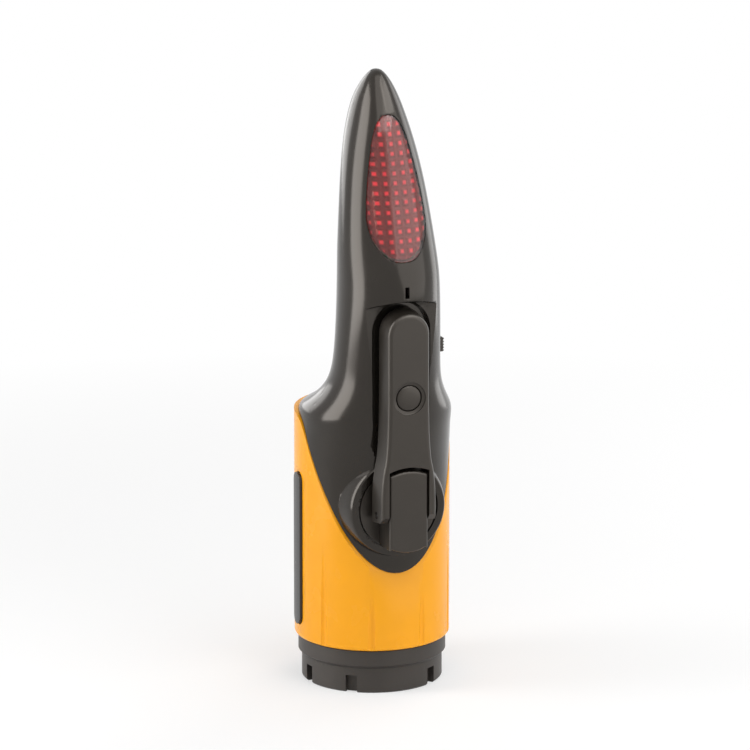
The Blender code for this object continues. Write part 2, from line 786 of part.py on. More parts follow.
def crank_knob():
    pivot = place(0, knob_reach, knob_height)
    eye = rod(eye_radius, -eye_half_width, eye_half_width, moved(0, knob_reach, knob_height,
                                                                  sideways), steps_middle)
    stem = set_up("knob_stem", eye, "steel", pivot)
    tip = knob_tip_distance()
    up = moved(0, knob_reach, knob_height, upward)
    join(stem, rod(spindle_radius, eye_radius / 2, tip - knob_end - running_gap, up))
    cut(stem, rod(knob_pin_radius + running_gap, -knob_radius, knob_radius,
                  moved(0, knob_reach, knob_height, sideways)))
    low = eye_radius + knob_gap
    bore_end = tip - knob_end
    waist = knob_radius * 0.86
    profile = [(0, bore_end), (knob_bore, bore_end), (knob_bore, low), (knob_radius * 0.9, low),
               (knob_radius, low + knob_end), (waist, low + knob_length * 0.3),
               (waist, low + knob_length * 0.6), (knob_radius, bore_end - knob_end),
               (knob_radius, bore_end), (knob_radius * 0.8, tip), (0, tip)]
    set_up("knob_grip", turned(profile, up, closed=False), "black_gloss", pivot)


# Gears and generator
def tooth_outline(teeth, module, phase=0):
    """Spur gear outline with involute flanks, a tooth centred on the phase angle."""
    pitch = teeth * module / 2
    base = pitch * cos(pressure_angle)
    tip = pitch + addendum_share * module
    root = pitch - dedendum_share * module
    half = pi / (2 * teeth) - tooth_backlash / (2 * pitch)
    half_at_base = half + tan(pressure_angle) - pressure_angle
    start = max(base, root)
    flank = [(root, half_at_base)] if root < base else []
    for share in (0, 1):
        radius = start + (tip - start) * share
        roll = acos(min(1, base / radius))
        flank.append((radius, half_at_base - tan(roll) + roll))
    outline = []
    for tooth in range(teeth):
        middle = phase + 2 * pi * tooth / teeth
        outline += [(radius, middle - wide) for radius, wide in flank]
        outline += [(radius, middle + wide) for radius, wide in reversed(flank)]
    return [(radius * cos(turn), radius * sin(turn)) for radius, turn in outline]


def gears():
    hub = place(0, hub_face_reach, hub_height)
    idler = place(0, crank_gear_reach, idler_height)
    rotor = place(0, wheel_reach, rotor_height)
    crank_frame = moved(0, 0, hub_height, forward)
    idler_frame = moved(0, 0, idler_height, forward)
    rotor_frame = moved(0, 0, rotor_height, forward)
    drive = plate(tooth_outline(crank_teeth, crank_module, -pi / 2), crank_gear_reach,
                  crank_gear_reach + crank_gear_width, crank_frame)
    gear = set_up("crank_gear", drive, "white_plastic", hub)
    cut(gear, rod(shaft_radius + running_gap, crank_gear_reach - overrun, crank_gear_reach
                  + crank_gear_width + overrun, crank_frame, steps_middle))
    gap_turn = pi / 2 + pi / pinion_teeth
    pinion = plate(tooth_outline(pinion_teeth, crank_module, gap_turn), wheel_reach + wheel_width / 2,
                   crank_gear_reach + crank_gear_width + layer_gap, idler_frame)
    idler_gear = set_up("idler_gear", pinion, "white_plastic", idler)
    join(idler_gear, plate(tooth_outline(wheel_teeth, wheel_module, -pi / 2), wheel_reach,
                           wheel_reach + wheel_width, idler_frame))
    cut(idler_gear, rod(arbor_radius + running_gap, wheel_reach - overrun, crank_gear_reach
                        + crank_gear_width + overrun * 2, idler_frame))
    rotor_gap = pi / 2 + pi / rotor_teeth
    drum_low = generator_back + generator_wall + fit_gap
    drum_high = plate_reach - fit_gap * 2
    shaft = rotor_shaft_radius
    drum = turned([(0, drum_low), (rotor_radius, drum_low), (rotor_radius, drum_high),
                   (shaft, drum_high), (shaft, wheel_reach + wheel_width), (0, wheel_reach
                    + wheel_width)], rotor_frame, closed=False)
    rotor_thing = set_up("generator_rotor", drum, "steel", rotor)
    join(rotor_thing, plate(tooth_outline(rotor_teeth, wheel_module, rotor_gap),
                            wheel_reach - running_gap, wheel_reach + wheel_width + layer_gap,
                            rotor_frame))
    back = generator_back
    case_high = plate_reach - fit_gap
    inside = rotor_radius + fit_gap * 2
    case = [(0, back), (generator_radius, back), (generator_radius, case_high),
            (inside, case_high), (inside, back + generator_wall - fit_gap),
            (0, back + generator_wall - fit_gap)]
    set_up("generator_case", turned(case, rotor_frame, closed=False), "steel")
    set_up("idler_arbor", rod(arbor_radius, plate_reach + fit_gap, crank_gear_reach
                              + crank_gear_width + fit_gap * 2, idler_frame), "steel")


def gearbox():
    half = plate_half_width
    bevel = plate_corner
    outline = [(half - bevel, plate_low), (half, plate_low + bevel), (half, plate_high - bevel),
               (half - bevel, plate_high)]
    outline += [(-x, z) for x, z in reversed(outline)]
    back = plate_reach
    front = plate_reach + plate_thickness
    thing = set_up("gearbox_plate", plate(outline, back, front), "steel")
    holes = [(0, hub_height, shaft_radius + running_gap), (0, idler_height, arbor_radius
             + running_gap), (0, rotor_height, rotor_shaft_radius + fit_gap)]
    holes += [(x, z, screw_radius + running_gap) for x, z in post_places]
    for x, z, radius in holes:
        cut(thing, rod(radius, back - overrun, front + overrun, moved(x, 0, z, forward)))
    for number, (x, z) in enumerate(post_places, 1):
        head = back - fit_gap
        profile = [(0, head - screw_head), (screw_head_radius * 0.8, head - screw_head),
                   (screw_head_radius, head - screw_head / 2), (screw_head_radius, head),
                   (screw_radius, head), (screw_radius, head + screw_length - screw_radius),
                   (0, head + screw_length)]
        set_up(f"gearbox_screw_{number}", turned(profile, moved(x, 0, z, forward), steps_small,
                                                 closed=False), "steel")
    low = bush_low()
    frame = moved(0, 0, hub_height, forward)
    bore = shaft_radius + running_gap
    wall = bore + bush_wall
    flange = wall + bush_flange
    profile = [(bore, low), (flange, low), (flange, low + bush_flange), (wall, low + bush_flange),
               (wall, hub_recess_reach() - fit_gap), (bore, hub_recess_reach() - fit_gap)]
    set_up("crank_bush", turned(profile, frame), "brass")


def hub_recess_reach():
    return hub_face_reach - hub_thickness - fit_gap


def bush_low():
    return hub_pad_reach - fit_gap - bush_flange


# Batteries and electronics
def power():
    low = bezel_height + spigot_height + fit_gap
    radius = inner_radius - fit_gap
    edge = asin((cell_radius / 4 - generator_back) / radius)
    thing = set_up("battery_tray", plate(arc((0, 0), radius, edge, pi - edge, 24), low,
                                         low + tray_thickness, upward), "black_matte")
    cell_low = low + tray_thickness + fit_gap
    nub = cell_radius * 0.35
    for number in range(3):
        angle = pi + (number - 1) * cell_spread
        spot = moved(cell_circle * sin(angle), cell_circle * cos(angle), 0, upward)
        profile = [(0, cell_low), (cell_radius, cell_low), (cell_radius, cell_low + cell_height),
                   (nub, cell_low + cell_height), (nub, cell_low + cell_height + cell_nub),
                   (0, cell_low + cell_height + cell_nub)]
        set_up(f"battery_cell_{number + 1}", turned(profile, spot, closed=False), "cell_wrap")
    return thing


def electronics():
    side = control_board_side
    set_up("control_board", block((side, side + board_thickness),
                                  (control_board_back, control_board_front),
                                  (control_board_low, control_board_high)), "board_green")
    body_low = side + board_thickness
    half = switch_body_length / 2
    wide = switch_plate_width / 2
    middle = switch_height + switch_travel / 2
    set_up("switch_body", block((body_low, body_low + switch_body_depth),
                                (switch_reach - wide, switch_reach + wide),
                                (middle - half, middle + half)), "black_matte")
    slider_low = body_low + switch_body_depth + running_gap
    home = place(slider_low, switch_reach, switch_height)
    start = switch_height
    slider = block((slider_low, slider_low + switch_plate_thickness),
                   (switch_reach - wide, switch_reach + wide),
                   (start - switch_plate_length / 2, start + switch_plate_length / 2))
    thing = set_up("switch_slider", slider, "black_matte", home)
    nub = switch_nub_width / 2
    join(thing, block((slider_low + switch_plate_thickness / 2, switch_surface() + switch_nub_proud),
                      (switch_reach - nub, switch_reach + nub),
                      (start - switch_nub_length / 2, start + switch_nub_length / 2)))
    frame = moved(0, 0, jack_height, forward)
    top = pocket_reach - fit_gap
    shoulder = inner_radius - fit_gap
    wide = jack_body / 2
    jack = set_up("charge_jack", rod(jack_radius, shoulder - overrun, top, frame), "black_matte")
    join(jack, block((-wide, wide), (shoulder - jack_depth, shoulder), (jack_height - wide,
                                                                       jack_height + wide)))
    cut(jack, rod(jack_bore, shoulder - jack_depth / 2, top + overrun, frame))


def switch_surface():
    """Half-width of the handle where the switch comes through."""
    for low, high in zip(sections, sections[1:]):
        if low[0] <= switch_height <= high[0]:
            share = (switch_height - low[0]) / (high[0] - low[0])
            size = [a + (b - a) * share for a, b in zip(low, high)]
    depth = size[2] - size[4]
    return size[1] * sqrt(1 - ((switch_reach - size[4]) / depth) ** 2)


# Flasher
def flasher_outline(margin):
    """Teardrop seen from the front: round at the bottom and narrow at the top."""
    rise = flasher_high - flasher_low
    shares = [(0.30, 0.02), (0.62, 0.07), (0.88, 0.15), (1.00, 0.26), (0.97, 0.38), (0.86, 0.55),
              (0.72, 0.70), (0.57, 0.84), (0.40, 0.93), (0.18, 0.985)]
    right = [(x * flasher_half_width, flasher_low + up * rise) for x, up in shares]
    loop = right + [(-x, z) for x, z in reversed(right)]
    centre = flasher_low + rise / 2
    wide = 1 + margin / flasher_half_width
    tall = 1 + margin / (rise / 2)
    return [(x * wide, centre + (z - centre) * tall) for x, z in loop]


def flasher():
    far = housing_radius * 2
    behind = housing_radius * 0.22
    lens = set_up("flasher_lens", housing_solid(), "red_lens")
    combine(lens, "INTERSECT", plate(flasher_outline(0), behind, far))
    cut(lens, flasher_hollow())
    slope, foot = flasher_slope()
    turn = Matrix.Rotation(-slope, 4, "X") @ forward
    frame = Matrix.Translation(foot) @ turn
    half = flasher_half_width * 0.9
    length = (flasher_high - flasher_low) * 0.72
    outline = [(-half, 0), (half, 0), (half * 0.9, length * 0.45), (half * 0.5, length),
               (-half * 0.5, length), (-half * 0.9, length * 0.45)]
    set_up("flasher_board", plate(outline, -board_thickness, 0, frame), "board_green")
    for number, share in enumerate(flasher_led_shares, 1):
        spot = frame @ Matrix.Translation((0, length * share, 0))
        radius = flasher_led_radius
        profile = [(0, 0), (radius, 0), (radius, flasher_led_height - radius),
                   (radius * 0.7, flasher_led_height - radius * 0.3), (0, flasher_led_height)]
        set_up(f"flasher_led_{number}", turned(profile, spot, steps_small, closed=False),
               "red_plastic")


def flasher_slope():
    """Lean of the handle's front over the flasher, and where its board stands."""
    ends = []
    for level in (flasher_low, flasher_high):
        for low, high in zip(sections, sections[1:]):
            if low[0] <= level <= high[0]:
                share = (level - low[0]) / (high[0] - low[0])
                ends.append(low[2] + (high[2] - low[2]) * share)
    slope = (ends[0] - ends[1]) / (flasher_high - flasher_low)
    lean = asin(slope / sqrt(1 + slope ** 2))
    foot = flasher_rib_top() + fit_gap + board_thickness * sin(lean)
    return lean, place(0, ends[0] - flasher_board_offset, foot)


def flasher_rib_top():
    return flasher_low - flasher_gap * 3


def flasher_hollow():
    """The handle's shape drawn in by the lens wall."""
    rings = []
    for height, side, front, back, middle in sections:
        if flasher_low - housing_wall * 8 < height < tool_height - housing_wall:
            rings.append(section_ring(height - flasher_wall, side - flasher_wall,
                                      front - flasher_wall, back, middle))
    return lofted(rings)


# Housing halves
def hub_boss():
    wide = hub_radius + hub_gap + hub_rim_wall
    low = inner_radius - housing_wall
    profile = [(0, low), (wide + hub_boss_slope, low), (wide, hub_boss_reach), (0, hub_boss_reach)]
    return turned(profile, moved(0, 0, hub_height, forward), 36, closed=False)


def well_outline(margin):
    """Side view of the space that the knob swings through, from along the arm to straight in."""
    reach = knob_tip_distance() + well_gap + margin
    drop = knob_radius + well_gap + margin
    start = pi + asin(drop / reach)
    curve = arc((knob_reach, knob_height), reach, start, pi / 2, 14)
    return curve + [(arm_face_reach, knob_height + reach), (arm_face_reach, knob_height - drop)]


def well_block():
    side = knob_radius + well_gap + well_wall
    outline = [(min(reach, shelf_reach - housing_wall / 2), z) for reach, z in
               well_outline(well_wall)]
    kept = [point for i, point in enumerate(outline) if point not in outline[:i]]
    return plate(kept, -side, side, sideways)


def sleeve_rebate():
    """What the housing gives up so that the sleeve can slide over it."""
    bm = tube(barrel_radius + overrun * 3, core_radius, 0, sleeve_back_top + fit_gap, upward,
              steps_wide)
    tool = set_up("sleeve_rebate", bm, None, cutter=True)
    cut(tool, above_sleeve(fit_gap))
    return tool


def housing_hollow():
    """The housing's hollow, which stops short of its pad, posts, screw bosses and rib."""
    tool = set_up("housing_hollow", hollow_solid(), None, cutter=True)
    hub = moved(0, 0, hub_height, forward)
    far = housing_radius * 2
    cut(tool, rod(hub_radius + hub_gap + housing_wall, hub_pad_reach, far, hub, steps_wide))
    for x, z in post_places:
        cut(tool, rod(post_radius, plate_reach + plate_thickness + fit_gap, far,
                      moved(x, 0, z, forward)))
    for x, z, ledge in housing_screw_places:
        cut(tool, rod(post_radius, -far, far, moved(x, 0, z, forward)))
    rib_top = flasher_rib_top()
    cut(tool, block((-housing_radius, housing_radius), (housing_radius * 0.55, far),
                    (rib_top - flasher_rib, rib_top)))
    return tool


def housing_front(hollow, rebate):
    thing = set_up("housing_front", housing_solid(), "black_gloss")
    join(thing, hub_boss())
    use_tool(thing, "DIFFERENCE", hollow)
    cut(thing, beside_parting(0, -1))
    join(thing, well_block())
    use_tool(thing, "DIFFERENCE", rebate)
    hub = moved(0, 0, hub_height, forward)
    far = housing_radius * 2
    cut(thing, rod(swing_radius, shelf_reach, far, hub, 64))
    cut(thing, plate(arm_outline(0, pocket_margin), pocket_reach, far))
    cut(thing, rod(hub_radius + hub_gap, hub_recess_reach(), far, hub, 36))
    cut(thing, rod(shaft_radius + running_gap + bush_wall + fit_gap, inner_radius / 2, far, hub))
    cut(thing, rod(jack_radius + fit_gap, inner_radius - overrun, far,
                   moved(0, 0, jack_height, forward)))
    side = knob_radius + well_gap
    cut(thing, plate(well_outline(0), -side, side, sideways))
    nub = switch_nub_width / 2 + fit_gap
    surface = switch_surface()
    cut(thing, block((surface - housing_wall * 2, surface + overrun * 3), (switch_reach - nub,
                     switch_reach + nub), (switch_height - switch_nub_length / 2 - fit_gap,
                     switch_height + switch_travel + switch_nub_length / 2 + fit_gap)))
    cut(thing, plate(flasher_outline(flasher_gap), housing_radius * 0.42, far))
    wide = window_half_width + running_gap
    tall = window_half_length + running_gap
    cut(thing, block((-wide, wide), (pocket_reach + housing_wall, far), (window_height - tall,
                                                                       window_height + tall)))
    for x, z in post_places:
        cut(thing, rod(screw_radius + running_gap, plate_reach, plate_reach + screw_length + fit_gap,
                       moved(x, 0, z, forward)))
    for x, z, ledge in housing_screw_places:
        cut(thing, rod(screw_radius + running_gap, 0, ledge + housing_screw_length + fit_gap,
                       moved(x, 0, z, forward)))
    return thing


def housing_back(hollow, rebate):
    thing = set_up("housing_back", housing_solid(), "black_gloss")
    use_tool(thing, "DIFFERENCE", hollow)
    cut(thing, beside_parting(-fit_gap, 1))
    use_tool(thing, "DIFFERENCE", rebate)
    far = housing_radius * 2
    for x, z, ledge in housing_screw_places:
        frame = moved(x, 0, z, forward)
        cut(thing, rod(screw_radius + running_gap, 0, far, frame))
        cut(thing, rod(screw_head_radius + fit_gap, -far, ledge, frame))
    cut(thing, blade(fit_gap))
    hole = bail_radius + fit_gap
    cut(thing, rod(hole, -far / 2, bail_inner_reach + fit_gap, moved(0, 0, bail_high, forward)))
    cut(thing, rod(hole, bail_low - fit_gap, bail_high, moved(0, bail_outer_reach, 0, upward)))
    front = belt_slot_reach
    back = belt_slot_reach - belt_slot_width
    middle = (front + back) / 2
    slot = [(front, belt_slot_low), (front, belt_slot_high - belt_slot_width / 2),
            (middle, belt_slot_high), (back, belt_slot_high - belt_slot_width / 2),
            (back, belt_slot_low + belt_mouth), (-housing_radius / 2, belt_slot_low)]
    cut(thing, plate(slot, -housing_radius, housing_radius, sideways))
    return thing


def housing_trim():
    """Screws from the back, the belt cutter's blade, the indicator window and the lanyard bar."""
    for number, (x, z, ledge) in enumerate(housing_screw_places, 1):
        head = ledge - fit_gap
        profile = [(0, head - screw_head), (screw_head_radius, head - screw_head),
                   (screw_head_radius, head), (screw_radius, head),
                   (screw_radius, ledge + housing_screw_length), (0, ledge + housing_screw_length)]
        set_up(f"housing_screw_{number}", turned(profile, moved(x, 0, z, forward), steps_small,
                                                 closed=False), "steel")
    set_up("belt_blade", blade(0), "steel")
    low = pocket_reach + housing_wall + fit_gap
    surface = max(front for height, side, front, back, middle in sections)
    set_up("indicator_window", block((-window_half_width, window_half_width), (low, surface
                                     - fit_gap * 2), (window_height - window_half_length,
                                                      window_height + window_half_length)),
           "red_lens")
    lanyard_bar()


def blade(margin):
    """A thin slanting cutter across the belt slot, or the groove that holds it."""
    middle = belt_slot_reach - belt_slot_width / 2
    half = blade_length / 2 + margin
    wide = blade_width / 2 + margin
    corners = [(-half, -wide), (half, -wide), (half, wide), (-half, wide)]
    lean = radians(-45)
    outline = [(middle + x * cos(lean) - y * sin(lean), blade_height + x * sin(lean) + y * cos(lean))
               for x, y in corners]
    thick = blade_thickness / 2 + margin
    return plate(outline, -thick, thick, sideways)


def lanyard_bar():
    """A round bar out of the handle's back, over in a bend and down into the shoulder."""
    bend = arc((bail_outer_reach + bail_bend, bail_high - bail_bend), bail_bend, pi / 2, pi, 6)
    line = [(bail_inner_reach, bail_high)] + bend + [(bail_outer_reach, bail_low)]
    curve = bpy.data.curves.new("lanyard_bar", "CURVE")
    curve.dimensions = "3D"
    spline = curve.splines.new("POLY")
    spline.points.add(len(line) - 1)
    for point, (reach, z) in zip(spline.points, line):
        point.co = (*place(0, reach, z), 1)
    curve.bevel_depth = bail_radius
    curve.bevel_resolution = 2
    curve.use_fill_caps = True
    curve.materials.append(materials["steel"])
    thing = bpy.data.objects.new("lanyard_bar", curve)
    bpy.context.scene.collection.objects.link(thing)
    thing.parent = barrel_axis


bezel()
lamp()
magnets()
glass_breaker()
sleeve()
grip_strips()
crank_hub()
crank_arm()
crank_pins()
crank_knob()
gears()
gearbox()
power()
electronics()
shared_hollow = housing_hollow()
shared_rebate = sleeve_rebate()
housing_front(shared_hollow, shared_rebate)
housing_back(shared_hollow, shared_rebate)
housing_trim()
flasher()
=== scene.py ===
# %% [markdown]
# A hand crank flashlight stands on its lamp end: a yellow barrel below, a curved black handle above,
# the crank folded into a pocket of the handle and a red flashing lens over it.
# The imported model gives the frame, so each new piece takes its place from the nodes' own boxes.

# %% Load the frame and read the main sizes from it
import json
from math import asin, cos, pi, radians, sin, sqrt

import bmesh
import bpy
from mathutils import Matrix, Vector


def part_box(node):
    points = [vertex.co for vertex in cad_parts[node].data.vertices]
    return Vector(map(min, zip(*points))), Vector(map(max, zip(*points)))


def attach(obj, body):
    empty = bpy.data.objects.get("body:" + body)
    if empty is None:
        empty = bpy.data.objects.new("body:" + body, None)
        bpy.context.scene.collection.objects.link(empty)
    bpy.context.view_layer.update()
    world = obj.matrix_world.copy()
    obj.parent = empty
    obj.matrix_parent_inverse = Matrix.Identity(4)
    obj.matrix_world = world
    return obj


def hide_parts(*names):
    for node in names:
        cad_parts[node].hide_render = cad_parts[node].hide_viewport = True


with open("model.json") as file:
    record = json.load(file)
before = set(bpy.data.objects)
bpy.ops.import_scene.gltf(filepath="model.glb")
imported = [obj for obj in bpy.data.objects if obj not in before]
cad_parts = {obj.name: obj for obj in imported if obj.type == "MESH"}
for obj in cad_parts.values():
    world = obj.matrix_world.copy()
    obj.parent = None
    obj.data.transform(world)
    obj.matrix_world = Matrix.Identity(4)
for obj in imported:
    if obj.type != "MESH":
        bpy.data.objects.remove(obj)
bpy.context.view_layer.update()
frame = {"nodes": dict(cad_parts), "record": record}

mm = 0.001
fit_gap = 0.3 * mm
record = frame["record"]
joints = {joint["name"]: joint for joint in record["behaviour"]["joints"]}
slots = {entry["node"]: entry["material_slot"] for entry in record["subparts"]}
sleeve_low, sleeve_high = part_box("barrel_sleeve")
arm_low, arm_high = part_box("crank_arm")
hub_low, hub_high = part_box("crank_hub")
axis_y = (sleeve_low[1] + sleeve_high[1]) / 2
barrel_radius = (sleeve_high[0] - sleeve_low[0]) / 2
housing_radius = barrel_radius - fit_gap
tool_height = max(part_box(node)[1][2] for node in frame["nodes"])
hub_height = joints["crank_spin"]["pos_m"][2]
hinge_reach = axis_y - joints["crank_fold"]["pos_m"][1]
knob_reach = axis_y - joints["knob_fold"]["pos_m"][1]
knob_height = joints["knob_fold"]["pos_m"][2]
arm_face = axis_y - arm_low[1]
arm_back = axis_y - arm_high[1]
print(f"height {tool_height / mm:.1f} mm, barrel {barrel_radius * 2 / mm:.1f} mm across")

# %% [markdown]
# Places are easiest to say as on the drawing board: how far to the side, how far out from the
# barrel's axis towards the crank (its reach), and how high. One small function turns that into the
# world's X, Y and Z, and everything below speaks in those words.

# %% Places and the usual moves
to_crank = (0, -1, 0)
to_back = (0, 1, 0)
to_right = (1, 0, 0)
upward = (0, 0, 1)
doubled = 0.002 * mm


def place(side, reach, height):
    return Vector((side, axis_y - reach, height))


def deselect():
    bpy.ops.object.select_all(action="DESELECT")


def name_it(name):
    piece = bpy.context.object
    piece.name = name
    piece.data.name = name
    return piece


def use(piece):
    deselect()
    piece.select_set(True)
    bpy.context.view_layer.objects.active = piece


def modify(piece, kind, **settings):
    """Add a modifier and apply it at once."""
    use(piece)
    step = piece.modifiers.new(kind.lower(), kind)
    for key, value in settings.items():
        setattr(step, key, value)
    bpy.ops.object.modifier_apply(modifier=step.name)
    return piece


def open_edit(piece, action="SELECT"):
    """Open a piece in edit mode, with all of it selected or nothing."""
    use(piece)
    bpy.ops.object.mode_set(mode="EDIT")
    bpy.ops.mesh.select_all(action=action)


def close_edit():
    bpy.ops.object.mode_set(mode="OBJECT")


def tidy(piece):
    """Merge doubled points and turn the faces outwards."""
    open_edit(piece)
    bpy.ops.mesh.remove_doubles(threshold=doubled)
    bpy.ops.mesh.normals_make_consistent(inside=False)
    close_edit()
    return piece


def copy_of(piece, name):
    twin = piece.copy()
    twin.data = piece.data.copy()
    bpy.context.scene.collection.objects.link(twin)
    twin.name = twin.data.name = name
    return twin


print("helpers ready")

# %% [markdown]
# A cut leaves a knife-sharp edge, which no moulding has. Booleans do the cutting, and afterwards only
# the edges sharper than an angle are marked and rounded, as far as the faces beside them allow. Points
# that a cut leaves close together are merged first. The handle's tip, where the rings lie close, is
# left out by giving a height.

# %% Cutting, joining and softening
smooth_angle = radians(40)


def shape(piece, kind, tool, keep=False):
    modify(piece, "BOOLEAN", operation=kind, solver="MANIFOLD", object=tool)
    if not keep:
        bpy.data.objects.remove(tool)


def cut(piece, *tools, keep=False):
    for tool in tools:
        shape(piece, "DIFFERENCE", tool, keep)


def soften(piece, width, angle=38, segments=2, below=None, merge=0.0):
    """Round a piece's sharp edges, up to a height if one is given, and shade the rest smoothly."""
    if merge:
        modify(piece, "WELD", merge_threshold=merge)
    open_edit(piece, "DESELECT")
    bpy.ops.mesh.select_mode(type="EDGE")
    bpy.ops.mesh.edges_select_sharp(sharpness=radians(angle))
    grown = bmesh.from_edit_mesh(piece.data)
    for edge in grown.edges:
        if below is not None and edge.select and min(end.co.z for end in edge.verts) > below:
            edge.select = False
    bmesh.update_edit_mesh(piece.data)
    bpy.ops.transform.edge_bevelweight(value=1)
    close_edit()
    modify(piece, "BEVEL", width=width, segments=segments, limit_method="WEIGHT")
    use(piece)
    bpy.ops.object.shade_smooth_by_angle(angle=smooth_angle)
    modify(piece, "WEIGHTED_NORMAL", keep_sharp=True)


def round_rim(piece, width, chosen, segments):
    """Round the edges whose two ends are both chosen by their place."""
    open_edit(piece, "DESELECT")
    bpy.ops.mesh.select_mode(type="EDGE")
    grown = bmesh.from_edit_mesh(piece.data)
    for edge in grown.edges:
        edge.select = all(chosen(end.co) for end in edge.verts)
    bmesh.update_edit_mesh(piece.data)
    bpy.ops.mesh.bevel(offset=width, segments=segments, affect="EDGES")
    close_edit()


def further_out(reach):
    """The rule for round_rim that picks points beyond a reach."""
    return lambda point: axis_y - point.y > reach


print("cutting and softening ready")

# %% [markdown]
# A material is a small net of nodes that feed each other's sockets. Two helpers keep the nets short to
# read: one sets or links sockets, the other adds a node and does the same for it.

# %% Two helpers for shader nodes
def feed(tree, node, sockets):
    """Set a node's sockets, by name or number, to a value or to what another node puts out."""
    for key, value in sockets.items():
        if isinstance(value, bpy.types.NodeSocket):
            tree.links.new(value, node.inputs[key])
        else:
            node.inputs[key].default_value = value
    return node


def add_node(tree, kind, sockets=None, **settings):
    made = tree.nodes.new("ShaderNode" + kind)
    for key, value in settings.items():
        setattr(made, key, value)
    return feed(tree, made, sockets or {})


print("node helpers ready")

# %% [markdown]
# Moulded plastic is never one flat value. It has an orange-peel ripple from the mould, a faint change
# of gloss where hands touch it and, on black, fine scratches. One recipe makes them all, from noise
# on the piece's own coordinates, and each finish gives its own scale and strength.

# %% One recipe for the finishes
cloud_size = 90
ripple_depth = 0.1 * mm
scratch_depth = 0.03 * mm
scratch_stretch = (600, 600, 25)
scratch_turn = (0.35, 0.2, 0)


def finish(name, colour, rough, metal=0.0, ripple=0.0, ripple_size=900, spread=0.06, shade=0.08,
           scratches=0.0, **fixed):
    """A material whose gloss, shade and surface vary as the real finish does."""
    made = bpy.data.materials.new(name)
    made.use_nodes = True
    tree = made.node_tree
    spot = add_node(tree, "TexCoord").outputs["Object"]
    cloud = add_node(tree, "TexNoise", {"Vector": spot, "Scale": cloud_size, "Detail": 5}).outputs["Fac"]
    gloss = add_node(tree, "MapRange", {"Value": cloud, "To Min": max(rough - spread, 0.02),
                                        "To Max": rough + spread})
    tint = add_node(tree, "ValToRGB", {"Fac": cloud})
    for stop, position, change in zip(tint.color_ramp.elements, (0.3, 0.7), (1 - shade, 1 + shade)):
        stop.position = position
        stop.color = (*[min(part * change, 1) for part in colour], 1)
    shader = feed(tree, tree.nodes["Principled BSDF"], {
        "Metallic": metal, "Roughness": gloss.outputs["Result"], "Base Color": tint.outputs["Color"]})
    feed(tree, shader, {key.replace("_", " "): value for key, value in fixed.items()})
    if not ripple:
        return made
    grain = add_node(tree, "TexNoise", {"Vector": spot, "Scale": ripple_size, "Detail": 3})
    raised = add_node(tree, "Bump", {"Strength": ripple, "Distance": ripple_depth,
                                     "Height": grain.outputs["Fac"]})
    feed(tree, shader, {"Normal": raised.outputs["Normal"]})
    if scratches:
        drawn = add_node(tree, "Mapping", {"Vector": spot, "Scale": scratch_stretch,
                                           "Rotation": scratch_turn})
        lines = add_node(tree, "TexNoise", {"Vector": drawn.outputs["Vector"], "Scale": 3})
        fine = add_node(tree, "Bump", {"Strength": scratches, "Distance": scratch_depth,
                                       "Height": lines.outputs["Fac"]})
        feed(tree, raised, {"Normal": fine.outputs["Normal"]})
    return made


def painted_glint_and_shade(name, valley_shade_colour, peak_glint_colour, rough, attribute):
    """A finish whose colour goes from a painted shade in the valleys to a painted highlight on the
    peaks, by a value that the mesh carries.
    """
    made = finish(name, peak_glint_colour, rough, shade=0.10)
    tree = made.node_tree
    shader = tree.nodes["Principled BSDF"]
    peaks = shader.inputs["Base Color"].links[0].from_socket
    carried = add_node(tree, "Attribute", attribute_name=attribute).outputs["Fac"]
    blend = add_node(tree, "Mix", {"Factor": carried, "A": (*valley_shade_colour, 1), "B": peaks},
                     data_type="RGBA")
    feed(tree, shader, {"Base Color": blend.outputs["Result"]})
    return made


print("finish recipes ready")

# %% [markdown]
# The handle is glossier than the crank, the bezel is finely grained, and the sleeve's yellow is nearly
# even. The flasher's cover is clear with a breath of red, because most of the red comes from the
# prisms behind it, whose peaks are painted lighter as highlights and whose valleys darker as shade.

# %% Mix the finishes
warm_gloss = (1.0, 0.92, 0.84, 1)
gloss_black = finish("gloss_black", (0.012, 0.010, 0.008), 0.17, ripple=0.05, spread=0.03,
                     scratches=0.04, Specular_Tint=warm_gloss, Specular_IOR_Level=0.42)
crank_black = finish("crank_black", (0.018, 0.015, 0.012), 0.34, ripple=0.12, ripple_size=1400,
                     Specular_Tint=warm_gloss)
matte_black = finish("matte_black", (0.026, 0.023, 0.021), 0.48, ripple=0.45, ripple_size=2600,
                     Specular_Tint=warm_gloss)
sleeve_yellow = finish("sleeve_yellow", (0.90, 0.372, 0.006), 0.26, ripple=0.08, shade=0.015,
                       Specular_IOR_Level=0.27)
strip_rubber = finish("strip_rubber", (0.018, 0.017, 0.016), 0.26, ripple=0.12, ripple_size=3200)
smoked_red = finish("smoked_red", (0.020, 0.003, 0.003), 0.12)
guard_red = finish("guard_red", (0.50, 0.02, 0.03), 0.36, ripple=0.10)
bright_steel = finish("bright_steel", (0.60, 0.60, 0.60), 0.26, metal=1.0, ripple=0.10,
                      scratches=0.12)
blade_steel = finish("blade_steel", (0.26, 0.27, 0.28), 0.30, metal=1.0, ripple=0.10, scratches=0.20)
turned_brass = finish("turned_brass", (0.70, 0.52, 0.25), 0.32, metal=1.0, ripple=0.10)
mirror_coat = finish("mirror_coat", (0.90, 0.90, 0.90), 0.07, metal=1.0, spread=0.03, shade=0.02)
natural_white = finish("natural_white", (0.80, 0.80, 0.76), 0.40, ripple=0.10, shade=0.03)
board_green = finish("board_green", (0.03, 0.20, 0.08), 0.42, ripple=0.20, ripple_size=500)
cell_wrap = finish("cell_wrap", (0.05, 0.22, 0.45), 0.30, ripple=0.15, ripple_size=400)
lens_clear = finish("lens_clear", (0.85, 0.88, 0.90), 0.05, spread=0.02, shade=0.01,
                    Transmission_Weight=0.92, IOR=1.49)
